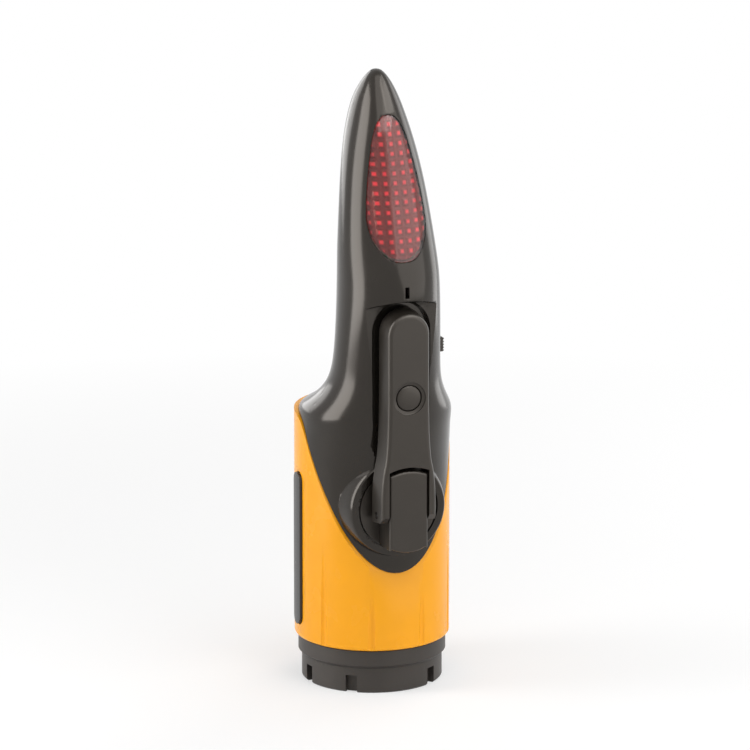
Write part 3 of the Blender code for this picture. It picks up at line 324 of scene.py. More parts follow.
lens_cover = finish("lens_cover", (0.86, 0.50, 0.46), 0.05, spread=0.02, shade=0.03,
                    Transmission_Weight=1.0, IOR=1.45)
# The prisms' peaks get a painted highlight and their valleys a painted shade.
prism_red = painted_glint_and_shade("prism_red", (0.13, 0.006, 0.008), (0.80, 0.035, 0.08), 0.18, "prism_peak")
print(f"{len(bpy.data.materials)} finishes mixed")

# %% [markdown]
# A new piece has to say what it is to the model: the body that it moves with, and the node that it
# stands for. That is the same for all pieces, so it is one short function.

# %% Dressing a piece
replaced = set()


def dress(piece, paint, body, stands_for=None):
    """Give a new piece its finish, the body it rides on and the node that it stands for."""
    piece.data.materials.clear()
    piece.data.polygons.foreach_set("material_index", [0] * len(piece.data.polygons))
    piece.data.materials.append(paint)
    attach(piece, body)
    if stands_for:
        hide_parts(stands_for)
        replaced.add(stands_for)
    print(f"{piece.name}: {len(piece.data.polygons)} faces")


print("dressing ready")

# %% [markdown]
# The camera stands where the photographer did: a little to the left of the crank's side and a little
# above. The lights are big soft panels, because a glossy black handle shows hardly any colour of its
# own: what the eye reads as its shape is the panels' reflections. So some panels only show in gloss,
# and some only light the matt surfaces.

# %% Camera and panels
look_at = Vector((0, 0, tool_height * 0.5))
view_turn = -20
view_rise = 14.5
view_distance = 2.2
view_lens = 314


def way_to(turn, rise):
    """The way from the tool to a place at a turn from the crank's side and a rise, in degrees."""
    turn = radians(turn)
    rise = radians(rise)
    return Vector((sin(turn) * cos(rise), -cos(turn) * cos(rise), sin(rise)))


def face_tool(thing, name, way):
    thing.name = name
    thing.rotation_euler = way.to_track_quat("Z", "Y").to_euler()
    return thing


def panel(name, turn, rise, distance, wide, tall, glow, on):
    """A soft area light, as bright to look at as its glow."""
    way = way_to(turn, rise)
    bpy.ops.object.light_add(type="AREA", location=look_at + way * distance)
    light = face_tool(bpy.context.object, name, way)
    light.data.shape = "RECTANGLE"
    light.data.size = wide
    light.data.size_y = tall
    light.data.energy = glow * pi * wide * tall
    light.visible_camera = False
    light.visible_glossy = on != "matt"
    light.visible_diffuse = on != "gloss"


to_camera = way_to(view_turn, view_rise)
bpy.ops.object.camera_add(location=look_at + to_camera * view_distance)
camera = face_tool(bpy.context.object, "camera", to_camera)
camera.data.lens = view_lens
camera.data.sensor_width = 36
bpy.context.scene.camera = camera
bpy.context.scene.view_settings.view_transform = "Standard"
panel_plan = [
    # name, turn, rise, distance, width, height, glow and where it shows
    ("left_panel", -97, 22, 0.36, 0.13, 0.50, 4.6, "matt"),
    ("right_panel", 122, 20, 0.42, 0.30, 0.46, 1.8, "matt"),
    ("front_panel", 38, 24, 0.36, 0.44, 0.50, 1.3, "all"),
    ("top_panel", -10, 58, 1.0, 0.8, 0.8, 1.8, "all"),
    ("left_card", -94, 14, 0.38, 0.20, 0.50, 5.6, "gloss"),
    ("right_card", 108, 8, 0.42, 0.16, 0.40, 1.8, "gloss"),
    ("shoulder_card", -158, 16, 0.50, 0.36, 0.30, 2.4, "gloss"),
    ("tip_card", 46, 54, 0.50, 0.34, 0.26, 3.2, "gloss"),
]
for plan in panel_plan:
    panel(*plan)
print(f"camera and {len(panel_plan)} panels in place")

# %% [markdown]
# The white behind comes from the world and the floor as the camera, gloss and glass see them, not
# from more light on the tool. The floor's own white fades in with distance, so that the tool keeps
# its shadow.

# %% World and floor
room_light = 0.30
shadow_near = 0.05
shadow_far = 0.45
white_near = 0.45


def seen_or_mirrored(tree):
    """1 for a ray from the camera, off gloss or through glass, 0 for the light that falls on things."""
    path = add_node(tree, "LightPath").outputs
    any_of = path["Is Camera Ray"]
    for kind in ("Is Glossy Ray", "Is Transmission Ray"):
        any_of = add_node(tree, "Math", {0: any_of, 1: path[kind]}, operation="MAXIMUM").outputs["Value"]
    return any_of


def lay_over(tree, share, first, second, out):
    """Put the second shader over the first by a share."""
    mix = add_node(tree, "MixShader", {"Fac": share, 1: first.outputs[0], 2: second.outputs[0]})
    feed(tree, tree.nodes[out], {"Surface": mix.outputs["Shader"]})


world = bpy.data.worlds.new("studio")
bpy.context.scene.world = world
world.use_nodes = True
sky = world.node_tree
room = feed(sky, sky.nodes["Background"], {"Color": (0.95, 0.95, 0.95, 1), "Strength": room_light})
white = add_node(sky, "Background", {"Color": (1, 1, 1, 1)})
lay_over(sky, seen_or_mirrored(sky), room, white, "World Output")

deselect()
bpy.ops.mesh.primitive_plane_add(size=6, location=(0, 0, 0))
floor = name_it("floor")
floor_paint = bpy.data.materials.new("floor_paint")
floor_paint.use_nodes = True
ground = floor_paint.node_tree
matt = feed(ground, ground.nodes["Principled BSDF"], {"Base Color": (0.88, 0.88, 0.88, 1),
                                                      "Roughness": 0.7})
ground_spot = add_node(ground, "TexCoord").outputs["Object"]
away = add_node(ground, "VectorMath", {0: ground_spot}, operation="LENGTH").outputs["Value"]
fade = add_node(ground, "MapRange", {"Value": away, "From Min": shadow_near, "From Max": shadow_far,
                                     "To Min": white_near, "To Max": 1.0}).outputs["Result"]
seen = add_node(ground, "Math", {0: fade, 1: seen_or_mirrored(ground)}, operation="MULTIPLY")
lay_over(ground, seen.outputs["Value"], matt, add_node(ground, "Emission"), "Material Output")
floor.data.materials.append(floor_paint)
print("world and floor ready")

# %% [markdown]
# Most tools in this model are flat outlines pulled to a thickness, and turned profiles.
# An outline starts as a filled circle whose points are slid onto the outline, then extruded. Where the
# far end has an outline of its own, the sides slope.

# %% Plates
facings = {
    "front": lambda across, up, depth: place(across, depth, up),
    "side": lambda across, up, depth: place(depth, across, up),
    "top": lambda across, up, depth: place(across, up, depth),
}


def plate(name, outline, low, high, facing="front", far_outline=None):
    """A flat outline, seen from the front, the side or the top, between two depths."""
    deselect()
    bpy.ops.mesh.primitive_circle_add(vertices=len(outline), fill_type="NGON")
    piece = name_it(name)
    where = facings[facing]
    for point, (across, up) in zip(piece.data.vertices, outline):
        point.co = where(across, up, low)
    open_edit(piece)
    lift = where(0, 0, high) - where(0, 0, low)
    bpy.ops.mesh.extrude_region_move(TRANSFORM_OT_translate={"value": lift})
    if far_outline:
        starts = [where(across, up, high) for across, up in outline]
        grown = bmesh.from_edit_mesh(piece.data)
        for point in [point for point in grown.verts if point.select]:
            nearest = min(range(len(starts)), key=lambda i: (starts[i] - point.co).length)
            point.co = where(*far_outline[nearest], high)
        bmesh.update_edit_mesh(piece.data)
    close_edit()
    return tidy(piece)


print("plates ready")

# %% [markdown]
# A turned piece is a profile spun round its axis, as on a lathe, and a rod is the plainest one. Arcs
# and rounded lines make the profiles and outlines.

# %% Turned pieces and curves
barrel_foot = place(0, 0, 0)


def turned(name, profile, centre=barrel_foot, axis=upward, steps=64):
    """Spin a closed profile of (radius, distance) points round an axis through a centre."""
    axis = Vector(axis)
    out = Vector((1, 0, 0)) if abs(axis.x) < 0.5 else Vector((0, 1, 0))
    deselect()
    bpy.ops.mesh.primitive_circle_add(vertices=len(profile), fill_type="NOTHING")
    piece = name_it(name)
    for point, (radius, distance) in zip(piece.data.vertices, profile):
        point.co = centre + out * radius + axis * distance
    open_edit(piece)
    bpy.ops.mesh.spin(steps=steps, angle=2 * pi, center=centre, axis=axis)
    close_edit()
    return tidy(piece)


def rectangle(left, low, right, high):
    return [(left, low), (right, low), (right, high), (left, high)]


def rod(name, radius, low, high, centre, axis, steps=48):
    return turned(name, rectangle(0, low, radius, high), centre, axis, steps)


def arc(centre, radius, start, end, steps):
    turns = [start + (end - start) * i / steps for i in range(steps + 1)]
    return [(centre[0] + radius * cos(turn), centre[1] + radius * sin(turn)) for turn in turns]


def rounded(points, times=2):
    """Cut an open line's corners again and again, which leaves a smooth curve."""
    for _ in range(times):
        finer = [points[0]]
        for (ax, ay), (bx, by) in zip(points, points[1:]):
            finer += [(ax * 0.75 + bx * 0.25, ay * 0.75 + by * 0.25),
                      (ax * 0.25 + bx * 0.75, ay * 0.25 + by * 0.75)]
        points = finer + [points[-1]]
    return points


print("turned pieces and curves ready")

# %% [markdown]
# The handle is one flowing form, so it is grown like a candle: a ring at the barrel, pulled up
# section by section. Each section is an oval that is widest at its own middle, with one depth
# towards the crank and another towards the back. A subdivision surface then melts the rings together.
# A row gives a section's height, half width, front, back and middle, as shares of the handle's rise
# and the housing's radius.

# %% Grow the housing's skin
handle_low = 70 * mm
ring_points = 48
section_shares = [
    (0.000, 1.000, 1.000, -1.000, 0.000), (0.071, 1.000, 1.035, -1.000, 0.010),
    (0.106, 0.998, 1.085, -1.000, 0.035), (0.142, 0.985, 1.125, -1.000, 0.075),
    (0.174, 0.998, 1.150, -0.985, 0.110), (0.195, 0.940, 1.170, -0.700, 0.210),
    (0.216, 0.855, 1.190, -0.450, 0.330), (0.245, 0.768, 1.200, -0.270, 0.430),
    (0.274, 0.722, 1.205, -0.170, 0.500), (0.309, 0.700, 1.220, -0.090, 0.550),
    (0.366, 0.686, 1.255, -0.045, 0.592), (0.440, 0.670, 1.315, -0.055, 0.615),
    (0.504, 0.658, 1.345, -0.085, 0.612), (0.539, 0.650, 1.310, -0.095, 0.600),
    (0.588, 0.634, 1.195, -0.105, 0.550), (0.664, 0.592, 1.060, -0.118, 0.470),
    (0.741, 0.543, 0.942, -0.175, 0.385), (0.826, 0.462, 0.790, -0.270, 0.260),
    (0.889, 0.368, 0.655, -0.300, 0.185), (0.930, 0.296, 0.530, -0.235, 0.155),
    (0.961, 0.218, 0.425, -0.120, 0.160), (0.985, 0.135, 0.330, 0.000, 0.170),
    (1.000, 0.050, 0.240, 0.100, 0.170),
]
handle_rise = tool_height - handle_low
barrel_heights = [sleeve_low[2]] + [height * mm for height in (20, 28, 36, 44, 52, 61)]
sections = [(height, housing_radius, housing_radius, -housing_radius, 0.0) for height in barrel_heights]
sections += [(handle_low + up * handle_rise, *[share * housing_radius for share in shares])
             for up, *shares in section_shares]


def ring_place(section, i):
    height, side, front, rear, middle = section
    turn = 2 * pi * i / ring_points
    depth = front - middle if cos(turn) > 0 else middle - rear
    return place(side * sin(turn), middle + depth * cos(turn), height)


def grow_skin(name, rows, finer=2):
    """Rings pulled up one from the next, closed at both ends and subdivided."""
    deselect()
    bpy.ops.mesh.primitive_circle_add(vertices=ring_points, fill_type="NGON")
    piece = name_it(name)
    for i, point in enumerate(piece.data.vertices):
        point.co = ring_place(rows[0], i)
    open_edit(piece)
    for row in rows[1:]:
        bpy.ops.mesh.extrude_region_move()
        grown = bmesh.from_edit_mesh(piece.data)
        ring = [point for point in grown.verts if point.select]
        for i, point in enumerate(ring):
            point.co = ring_place(row, i)
        bmesh.update_edit_mesh(piece.data)
    close_edit()
    tidy(piece)
    return modify(piece, "SUBSURF", levels=finer, render_levels=finer)


skin = grow_skin("housing_skin", sections)
print(f"housing skin: {len(skin.data.polygons)} faces")

# %% [markdown]
# The skin becomes two shells, front and back, that meet along the handle's side. First the hollow:
# the same sections drawn in by the wall, and held back where the pocket and the belt slot need room.

# %% The hollow inside
wall = 2.0 * mm
sleeve_wall = 2.25 * mm
core_radius = housing_radius - sleeve_wall
inner_radius = core_radius - wall
hub_radius = (hub_high[0] - hub_low[0]) / 2
hub_face = barrel_radius - 0.25 * mm
arm_end = arm_high[2]
swing_radius = arm_end - hub_height + 1.1 * mm
pocket_reach = 26.5 * mm
pocket_top = hub_height + swing_radius + 3.5 * mm
shelf_reach = 28.6 * mm
belt_slot_reach = -1.8 * mm
belt_slot_width = 2.8 * mm
belt_slot_top = 197.5 * mm
belt_slot_low = 171.0 * mm


def drawn_in(height, side, front, rear, middle):
    height = height - wall
    front = front - wall
    rear = rear + wall
    if height < pocket_top:
        front = min(front, pocket_reach - wall)
    if height > belt_slot_low - wall * 5:
        rear = max(rear, belt_slot_reach + wall)
    if height < handle_low + wall * 8:
        front = min(front, inner_radius)
        rear = max(rear, -inner_radius)
    side = min(side - wall, inner_radius)
    middle = min(max(middle, rear + wall), front - wall)
    return height, side, front, rear, middle


past = 1 * mm  # how far a cutter reaches past the face that it opens
lowest = (sleeve_low[2] - past, inner_radius, inner_radius, -inner_radius, 0)
inner_rows = [lowest] + [drawn_in(*row) for row in sections[1:] if row[0] < belt_slot_top]
hollow = grow_skin("housing_hollow", inner_rows, finer=1)
print(f"hollow: {len(hollow.data.polygons)} faces")

# %% [markdown]
# The yellow sleeve slides over the barrel, so the housing gives up a rebate there. The sleeve's top
# edge, seen from the side, is low at the front, climbs past the hub and runs flat round the back.
# The same curve cuts the sleeve and, a hair's gap away, the housing.

# %% The line between sleeve and housing
far = barrel_radius * 1.2
clear = far * 1.6
sleeve_top = sleeve_high[2]
sleeve_side_rise = 79.6 * mm
sleeve_front_low = 40.6 * mm


def sleeve_line(gap):
    slope = (sleeve_side_rise - sleeve_front_low) / (barrel_radius * 0.66)
    knee = barrel_radius * 0.16
    line = [(far, sleeve_front_low - (far - barrel_radius) * slope),
            (barrel_radius * 0.34, sleeve_side_rise), (knee, sleeve_top * 0.945),
            (knee - barrel_radius * 0.13, sleeve_top * 0.982),
            (knee - barrel_radius * 0.46, sleeve_top), (-far, sleeve_top)]
    return rounded([(reach + gap, height + gap) for reach, height in line])


def above_line(name, gap=0.0):
    return plate(name, sleeve_line(gap) + [(-far, tool_height), (far, tool_height)], -far, far, "side")


rebate = turned("sleeve_rebate", rectangle(core_radius, 0, far, sleeve_top + fit_gap), steps=128)
cut(rebate, above_line("above", fit_gap))
print("rebate ready")

# %% [markdown]
# The crank lies in a pocket of its own outline, a little wider all round. Round the crank the
# handle's front is cut flat as far as the arm swings, so that the arm can turn without touching.
# The lens's outline is round below and narrow above, with its corners melted away.

# %% Outlines of the crank's pocket, the arm and the lens
hub_center = place(0, 0, hub_height)
arm_half = 8.0 * mm
fork_half = (arm_high[0] - arm_low[0]) / 2
arm_foot = arm_low[2]
fork_shoulder = hub_height + 12.0 * mm
arm_neck = hub_height + 23.0 * mm
pocket_margin = 1.5 * mm


def arm_outline(inset=0.0):
    wide = fork_half - inset
    half = arm_half - inset
    tip = arc((0, arm_end - arm_half), half, 0, pi, 24)
    flank = rounded([(wide, arm_foot + inset), (wide, fork_shoulder), (half, arm_neck),
                     (half, arm_end - arm_half)], 3)
    return flank + tip[1:-1] + [(-x, z) for x, z in reversed(flank)]


flasher_low = 150.0 * mm
flasher_high = 198.0 * mm
flasher_middle = (flasher_low + flasher_high) / 2
flasher_half = 10.2 * mm
teardrop_shares = [(0.30, 0.02), (0.62, 0.07), (0.88, 0.15), (1.00, 0.26), (0.97, 0.38), (0.86, 0.55),
                   (0.72, 0.70), (0.57, 0.84), (0.40, 0.93), (0.18, 0.985)]


def teardrop(margin=0.0):
    rise = flasher_high - flasher_low
    wide = 1 + margin / flasher_half
    tall = 1 + margin / (rise / 2)
    loop = [(x * flasher_half * wide, flasher_middle + (up - 0.5) * rise * tall)
            for x, up in teardrop_shares]
    loop += [(-x, z) for x, z in reversed(loop)]
    closed = rounded(loop + loop[:2])
    return closed[4:-3]


print(f"pocket outline of {len(arm_outline(-pocket_margin))} points, lens outline of {len(teardrop())}")

# %% [markdown]
# The two shells part along a line that follows the handle's middle, seen from the side. The knob needs
# a well behind the crank, because it swings out of the arm on a quarter circle before it is used.

# %% The parting line and the knob's well
parting_shares = [(0.000, 0.155), (0.105, 0.20), (0.22, 0.34), (0.33, 0.44), (0.504, 0.44),
                  (0.664, 0.38), (0.826, 0.24), (0.93, 0.16), (1.02, 0.16)]
knob_sweep = 23.7 * mm
knob_drop = 3.8 * mm
well_side = 3.8 * mm
well_wall = 1.5 * mm


def half_space(name, gap, way):
    line = rounded([(reach * housing_radius + gap, handle_low + up * handle_rise)
                    for up, reach in parting_shares])
    line = [(line[0][0], 0)] + line
    return plate(name, line + [(far * 1.4 * way, line[-1][1]), (far * 1.4 * way, 0)], -far, far, "side")


def well(name, side, margin, front):
    reach = knob_sweep + margin
    drop = knob_drop + margin
    curve = arc((knob_reach, knob_height), reach, pi + asin(drop / reach), pi / 2, 32)
    line = [(min(out, front), up) for out, up in curve]
    line += [(front, knob_height + reach), (front, knob_height - drop)]
    line = [point for i, point in enumerate(line) if point not in line[:i]]
    return plate(name, line, -side, side, "side")


print(f"the knob sweeps {knob_sweep / mm:.1f} mm")

# %% [markdown]
# The front shell carries the crank, the switch, the jack and the window, so its sizes follow theirs. A
# boss stands round the hub, the flat that the arm swings over ends in a soft lip, and the pocket's
# edge is flared.

# %% Sizes of the front shell
switch_low, switch_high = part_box("switch_slider")
switch_reach = axis_y - (switch_low[1] + switch_high[1]) / 2
switch_middle = (switch_low[2] + switch_high[2]) / 2
switch_travel = joints["switch_slide"]["range_m"][1]
nub_half = 1.6 * mm
nub_rise = 2.5 * mm
slot_half = nub_half + fit_gap
slot_rise = nub_rise + fit_gap
jack_spot = place(0, 0, 89 * mm)
window_height = 141 * mm
window_wide = 0.75 * mm
window_tall = 1.9 * mm
lug_rise = 15.4 * mm
boss_wide = hub_radius + 3.1 * mm
boss_face = hub_face + 0.2 * mm
boss_back = 18 * mm
recess_floor = 23.9 * mm
lip_wide = 2.6 * mm
lip_rise = 6.6 * mm
lip_steps = 12
flare = 0.9 * mm
print(f"boss {boss_wide / mm:.1f} mm in radius, lip {lip_rise / mm:.1f} mm high")

# %% [markdown]
# The shell starts as a copy of the skin. The boss is joined on, and the hollow, the back half and the
# sleeve's rebate are cut away. Last come the openings: the flat, the pocket, the hub's recess, the
# lens's opening, the knob's well, and holes for bush, jack, window and switch. Cutting each form away
# is how a mould's inserts would leave it.

# %% The front shell
def close_shell(shell, node):
    """Round a shell's edges, but for its tip, and dress it."""
    soften(shell, 0.35 * mm, below=tool_height - 8 * mm, merge=0.11 * mm)
    dress(shell, gloss_black, "housing", node)


front_shell = copy_of(skin, "front_shell")
boss_rim = rounded([(boss_wide + 2 * mm, boss_back), (boss_wide + 0.2 * mm, boss_face),
                    (boss_wide - 1.4 * mm, boss_face)], 3)
shape(front_shell, "UNION", turned("boss", [(0, boss_back)] + boss_rim + [(0, boss_face)],
                                   hub_center, to_crank, 128))
cut(front_shell, hollow, keep=True)
cut(front_shell, half_space("behind", 0, -1))
shape(front_shell, "UNION", well("well_wall", well_side + well_wall, well_wall, shelf_reach - past))
cut(front_shell, rebate, keep=True)
swing_line = [(0, shelf_reach)]
for i in range(lip_steps + 1):
    climb = (1 - cos(pi * i / lip_steps)) / 2
    swing_line.append((swing_radius + lip_wide * i / lip_steps, shelf_reach + lip_rise * climb))
swing_line += [(swing_radius + lip_wide, clear), (0, clear)]
cut(front_shell, turned("swing", swing_line, hub_center, to_crank, 192),
    plate("pocket", arm_outline(-pocket_margin), pocket_reach, clear),
    plate("pocket_flare", arm_outline(-pocket_margin), shelf_reach - flare, shelf_reach + 0.1 * mm,
          far_outline=arm_outline(-pocket_margin - flare)),
    rod("lug_room", lug_rise + 0.5 * mm, boss_face + 0.05 * mm, clear, hub_center, to_crank, 96),
    rod("recess", hub_radius + 0.5 * mm, recess_floor, clear, hub_center, to_crank, 96),
    rod("bush_hole", 5.1 * mm, inner_radius / 2, far, hub_center, to_crank),
    plate("opening", teardrop(fit_gap), housing_radius * 0.42, clear),
    well("well", well_side, 0, arm_face),
    rod("jack_hole", 3.3 * mm, inner_radius - past, far * 1.5, jack_spot, to_crank),
    plate("switch_slot", rectangle(switch_reach - slot_half, switch_middle - slot_rise,
                                   switch_reach + slot_half, switch_middle + switch_travel + slot_rise),
          switch_high[0] - wall * 2.2, far, "side"),
    plate("window_hole", rectangle(-window_wide, window_height - window_tall,
                                   window_wide, window_height + window_tall),
          pocket_reach + wall, clear))
close_shell(front_shell, "housing_front")

# %% [markdown]
# The back shell is the same skin, seen from behind. It carries the two screws, the lanyard bar's feet
# and the belt cutter's slot, which is open below, behind a hook, and runs up past the blade.

# %% The back shell
screw_places = [(0, 144 * mm, 2 * mm), (-11.8 * mm, 113 * mm, 6 * mm)]
blade_height = 190.5 * mm
blade_lean = radians(-45)
blade_length = 3.2 * mm
blade_width = 1.5 * mm
groove_half = 0.65 * mm
seam_gap = 0.03 * mm
slot_radius = belt_slot_width / 2
slot_middle = belt_slot_reach - slot_radius
slot_back = belt_slot_reach - belt_slot_width
slot_mouth = -housing_radius / 2
hook_end = belt_slot_low + 12 * mm
bar_low, bar_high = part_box("lanyard_bar")
bar_radius = 1.0 * mm
bar_foot_reach = axis_y - bar_high[1] + bar_radius
bar_top = bar_high[2] - bar_radius
bar_hole = bar_radius + fit_gap


def blade_outline(margin=0.0):
    length = blade_length + margin
    width = blade_width + margin
    return [(slot_middle + x * cos(blade_lean) - y * sin(blade_lean),
             blade_height + x * sin(blade_lean) + y * cos(blade_lean))
            for x, y in rectangle(-length, -width, length, width)]


back_shell = copy_of(skin, "back_shell")
cut(back_shell, hollow, half_space("ahead", -seam_gap, 1), rebate)
for side, height, ledge in screw_places:
    cut(back_shell, rod("shank_hole", 1.2 * mm, 0, far, place(side, 0, height), to_crank),
        rod("head_hole", 2.5 * mm, -far * 1.4, ledge, place(side, 0, height), to_crank))
belt_outline = [(belt_slot_reach, belt_slot_low)]
belt_outline += arc((slot_middle, belt_slot_top - slot_radius), slot_radius, 0, pi, 12)
belt_outline += [(slot_back, hook_end), (slot_mouth, hook_end), (slot_mouth, belt_slot_low)]
cut(back_shell, plate("blade_groove", blade_outline(fit_gap), -groove_half, groove_half, "side"),
    plate("belt_slot", belt_outline, -far, far, "side"),
    rod("upper_bar_hole", bar_hole, -far, -0.3 * mm, place(0, 0, bar_top), to_crank),
    rod("lower_bar_hole", bar_hole, bar_low[2] - fit_gap, bar_top, place(0, bar_foot_reach, 0), upward))
close_shell(back_shell, "housing_back")

# %% [markdown]
# The sleeve is a lathe piece cut by its line. Its bottom edge is rounded over, and shallow grooves run
# up its skin. Slots at both sides let the rubber strips through.

# %% The yellow sleeve
sleeve_foot = sleeve_low[2]
sleeve_edge = 1.2 * mm
sleeve_inside = barrel_radius - sleeve_wall
strip_low = 20.3 * mm
strip_high = 73.4 * mm
strip_half = 3.0 * mm
groove_axis = barrel_radius + 1.1 * mm
groove_plan = [(20, 34 * mm), (58, 48 * mm), (116, 70 * mm), (148, 70 * mm)]


def strip_outline(margin=0.0):
    half = strip_half + margin
    return (arc((0, strip_high - strip_half), half, 0, pi, 16)
            + arc((0, strip_low + strip_half), half, pi, 2 * pi, 16))


def side_plate(name, outline, way, inner, outer):
    """A plate on the left or the right, between two distances from the middle."""
    low, high = sorted((way * inner, way * outer))
    return plate(name, outline, low, high, "side")


def groove(turn, high):
    """A shallow groove up the sleeve from its foot, at a turn from the crank's side, that fades out."""
    centre = place(sin(turn) * groove_axis, cos(turn) * groove_axis, 0)
    fade_from = high - (high - sleeve_foot) * 0.45
    foot = sleeve_foot - past
    line = [(0, foot), (1.65 * mm, foot), (1.6 * mm, fade_from), (1.2 * mm, high), (0, high)]
    return turned("groove", line, centre, upward, 24)


edge_round = arc((barrel_radius - sleeve_edge, sleeve_foot + sleeve_edge), sleeve_edge, -pi / 2, 0, 8)
sleeve = turned("sleeve", [(sleeve_inside, sleeve_foot)] + edge_round
                + [(barrel_radius, sleeve_top + past), (sleeve_inside, sleeve_top + past)], steps=180)
cut(sleeve, above_line("above_sleeve"))
for way in (-1, 1):
    cut(sleeve, side_plate("strip_slot", strip_outline(fit_gap), way, sleeve_inside - past,
                           barrel_radius + 2 * mm))
for degrees, high in groove_plan:
    for way in (-1, 1):
        cut(sleeve, groove(radians(degrees * way), high))
soften(sleeve, 0.35 * mm, angle=32)
dress(sleeve, sleeve_yellow, "housing", "barrel_sleeve")

# %% [markdown]
# The grip strips are rubber bars that stand a little proud of the barrel. A bar's outline, pulled out
# sideways and met with a turned ring, gives it the barrel's own roundness.

# %% Grip strips
strip_inside = core_radius + 0.35 * mm
strip_outside = barrel_radius + 0.9 * mm
ring_section = rectangle(strip_inside, strip_low - 2 * mm, strip_outside, strip_high + 2 * mm)
for way, name, node in ((-1, "left_strip", "grip_strip_left"), (1, "right_strip", "grip_strip_right")):
    strip = side_plate(name, strip_outline(), way, strip_inside - past, barrel_radius + 3 * mm)
    shape(strip, "INTERSECT", turned("strip_ring", ring_section, steps=180))
    soften(strip, 0.45 * mm, segments=3)
    dress(strip, strip_rubber, "housing", node)

# %% [markdown]
# The bezel is turned in one piece: a rim that the tool stands on, a wider band above it and a spigot
# that plugs into the barrel. Notches let light out when the tool stands on its face.

# %% Bezel
bezel_radius = barrel_radius - 2.45 * mm
band_radius = barrel_radius - 1.25 * mm
bezel_top = 15 * mm
spigot_top = bezel_top + 5 * mm
band_low = bezel_top - 5.2 * mm
rim_inside = bezel_radius - 3.3 * mm
rim_round = 0.6 * mm
face_height = 1.0 * mm
seat_height = face_height + 1.8 * mm
lens_radius = 12.8 * mm
lens_seat = lens_radius + fit_gap
lens_opening = 11.35 * mm
spigot = inner_radius - fit_gap
magnet_radius = 3.0 * mm
magnet_circle = rim_inside - magnet_radius - 0.7 * mm
notch_turns = [37, 83, 157, 203, 277, 323]
magnet_turns = [0, 120, 240]
notch_half = 2 * mm
notch_section = rectangle(-notch_half, bezel_radius - 2.2 * mm, notch_half, bezel_radius + 2 * mm)
guard_centre = place(0, 0, 7.4 * mm)
guard_radius = 5.2 * mm
bezel = turned("bezel", [
    (rim_inside, 0), (bezel_radius - rim_round, 0), (bezel_radius, rim_round),
    (bezel_radius, band_low - 1.2 * mm), (band_radius, band_low), (band_radius, bezel_top),
    (spigot, bezel_top), (spigot, spigot_top), (spigot - wall, spigot_top), (spigot - wall, bezel_top),
    (lens_seat, bezel_top - 2 * mm), (lens_seat, seat_height), (lens_opening, seat_height),
    (lens_opening, face_height), (rim_inside, face_height)], steps=160)
for degrees in notch_turns:
    turn = radians(degrees)
    corners = [(sin(turn) * out + cos(turn) * across, cos(turn) * out - sin(turn) * across)
               for across, out in notch_section]
    cut(bezel, plate("notch", corners, -past, 6 * mm, "top"))
magnet_places = [place(magnet_circle * sin(radians(turn)), magnet_circle * cos(radians(turn)), 0)
                 for turn in magnet_turns]
for spot in magnet_places:
    cut(bezel, rod("magnet_hole", magnet_radius + 0.2 * mm, -past, 3.6 * mm, spot, upward))
cut(bezel, rod("guard_seat", guard_radius + fit_gap, -bezel_radius - 3 * mm, -bezel_radius + 1.6 * mm,
               guard_centre, to_crank))
soften(bezel, 0.25 * mm)
dress(bezel, matte_black, "housing", "front_bezel")

# %% [markdown]
# Magnets and the lamp's parts sit in the bezel's face. The magnets are plated discs with a rounded
# edge. The lens is turned with a shallow crown, and the reflector's bowl is a true parabola.

# %% Magnets and lamp
for number, spot in enumerate(magnet_places, 1):
    magnet = rod(f"magnet_{number}", magnet_radius, 0.3 * mm, 3.3 * mm, spot, upward, 64)
    soften(magnet, 0.25 * mm)
    dress(magnet, bright_steel, "housing", f"base_magnet_{number}")
lens_low = 4.1 * mm
lens_high = lens_low + 2 * mm
crown = 0.5 * mm
crown_radius = lens_radius * 0.85
lens_line = [(crown_radius * share, lens_low - crown * (1 - share ** 2))
             for share in (0, 0.25, 0.5, 0.75, 1)]
lens_line += [(lens_radius, lens_low), (lens_radius, lens_high), (0, lens_high)]
lamp_lens = turned("lens", lens_line, steps=96)
soften(lamp_lens, 0.15 * mm, angle=50)
dress(lamp_lens, lens_clear, "housing", "lamp_lens")
bowl_foot = lens_high + 0.2 * mm
bowl_rise = 9.5 * mm
bowl_top = bowl_foot + bowl_rise
bowl_steps = 12
throat = 2.9 * mm
mouth = lens_radius - 1.35 * mm
bowl = [(throat + (mouth - throat) * sqrt(i / bowl_steps), bowl_top - bowl_rise * i / bowl_steps)
        for i in range(bowl_steps + 1)]
bowl += [(lens_radius, bowl_foot), (lens_radius, bowl_foot + 0.9 * mm),
         (lens_radius * 0.8, bowl_foot + 5.7 * mm), (lens_radius * 0.45, bowl_top)]
reflector = turned("bowl", bowl, steps=96)
soften(reflector, 0.1 * mm, angle=50)
dress(reflector, mirror_coat, "housing", "reflector")

# %% [markdown]
# The glass breaker is a steel point behind a red guard that stands out of the bezel's back. Both are
# round, so both are turned, and the guard's mouth is deep enough to keep the point off fingers.

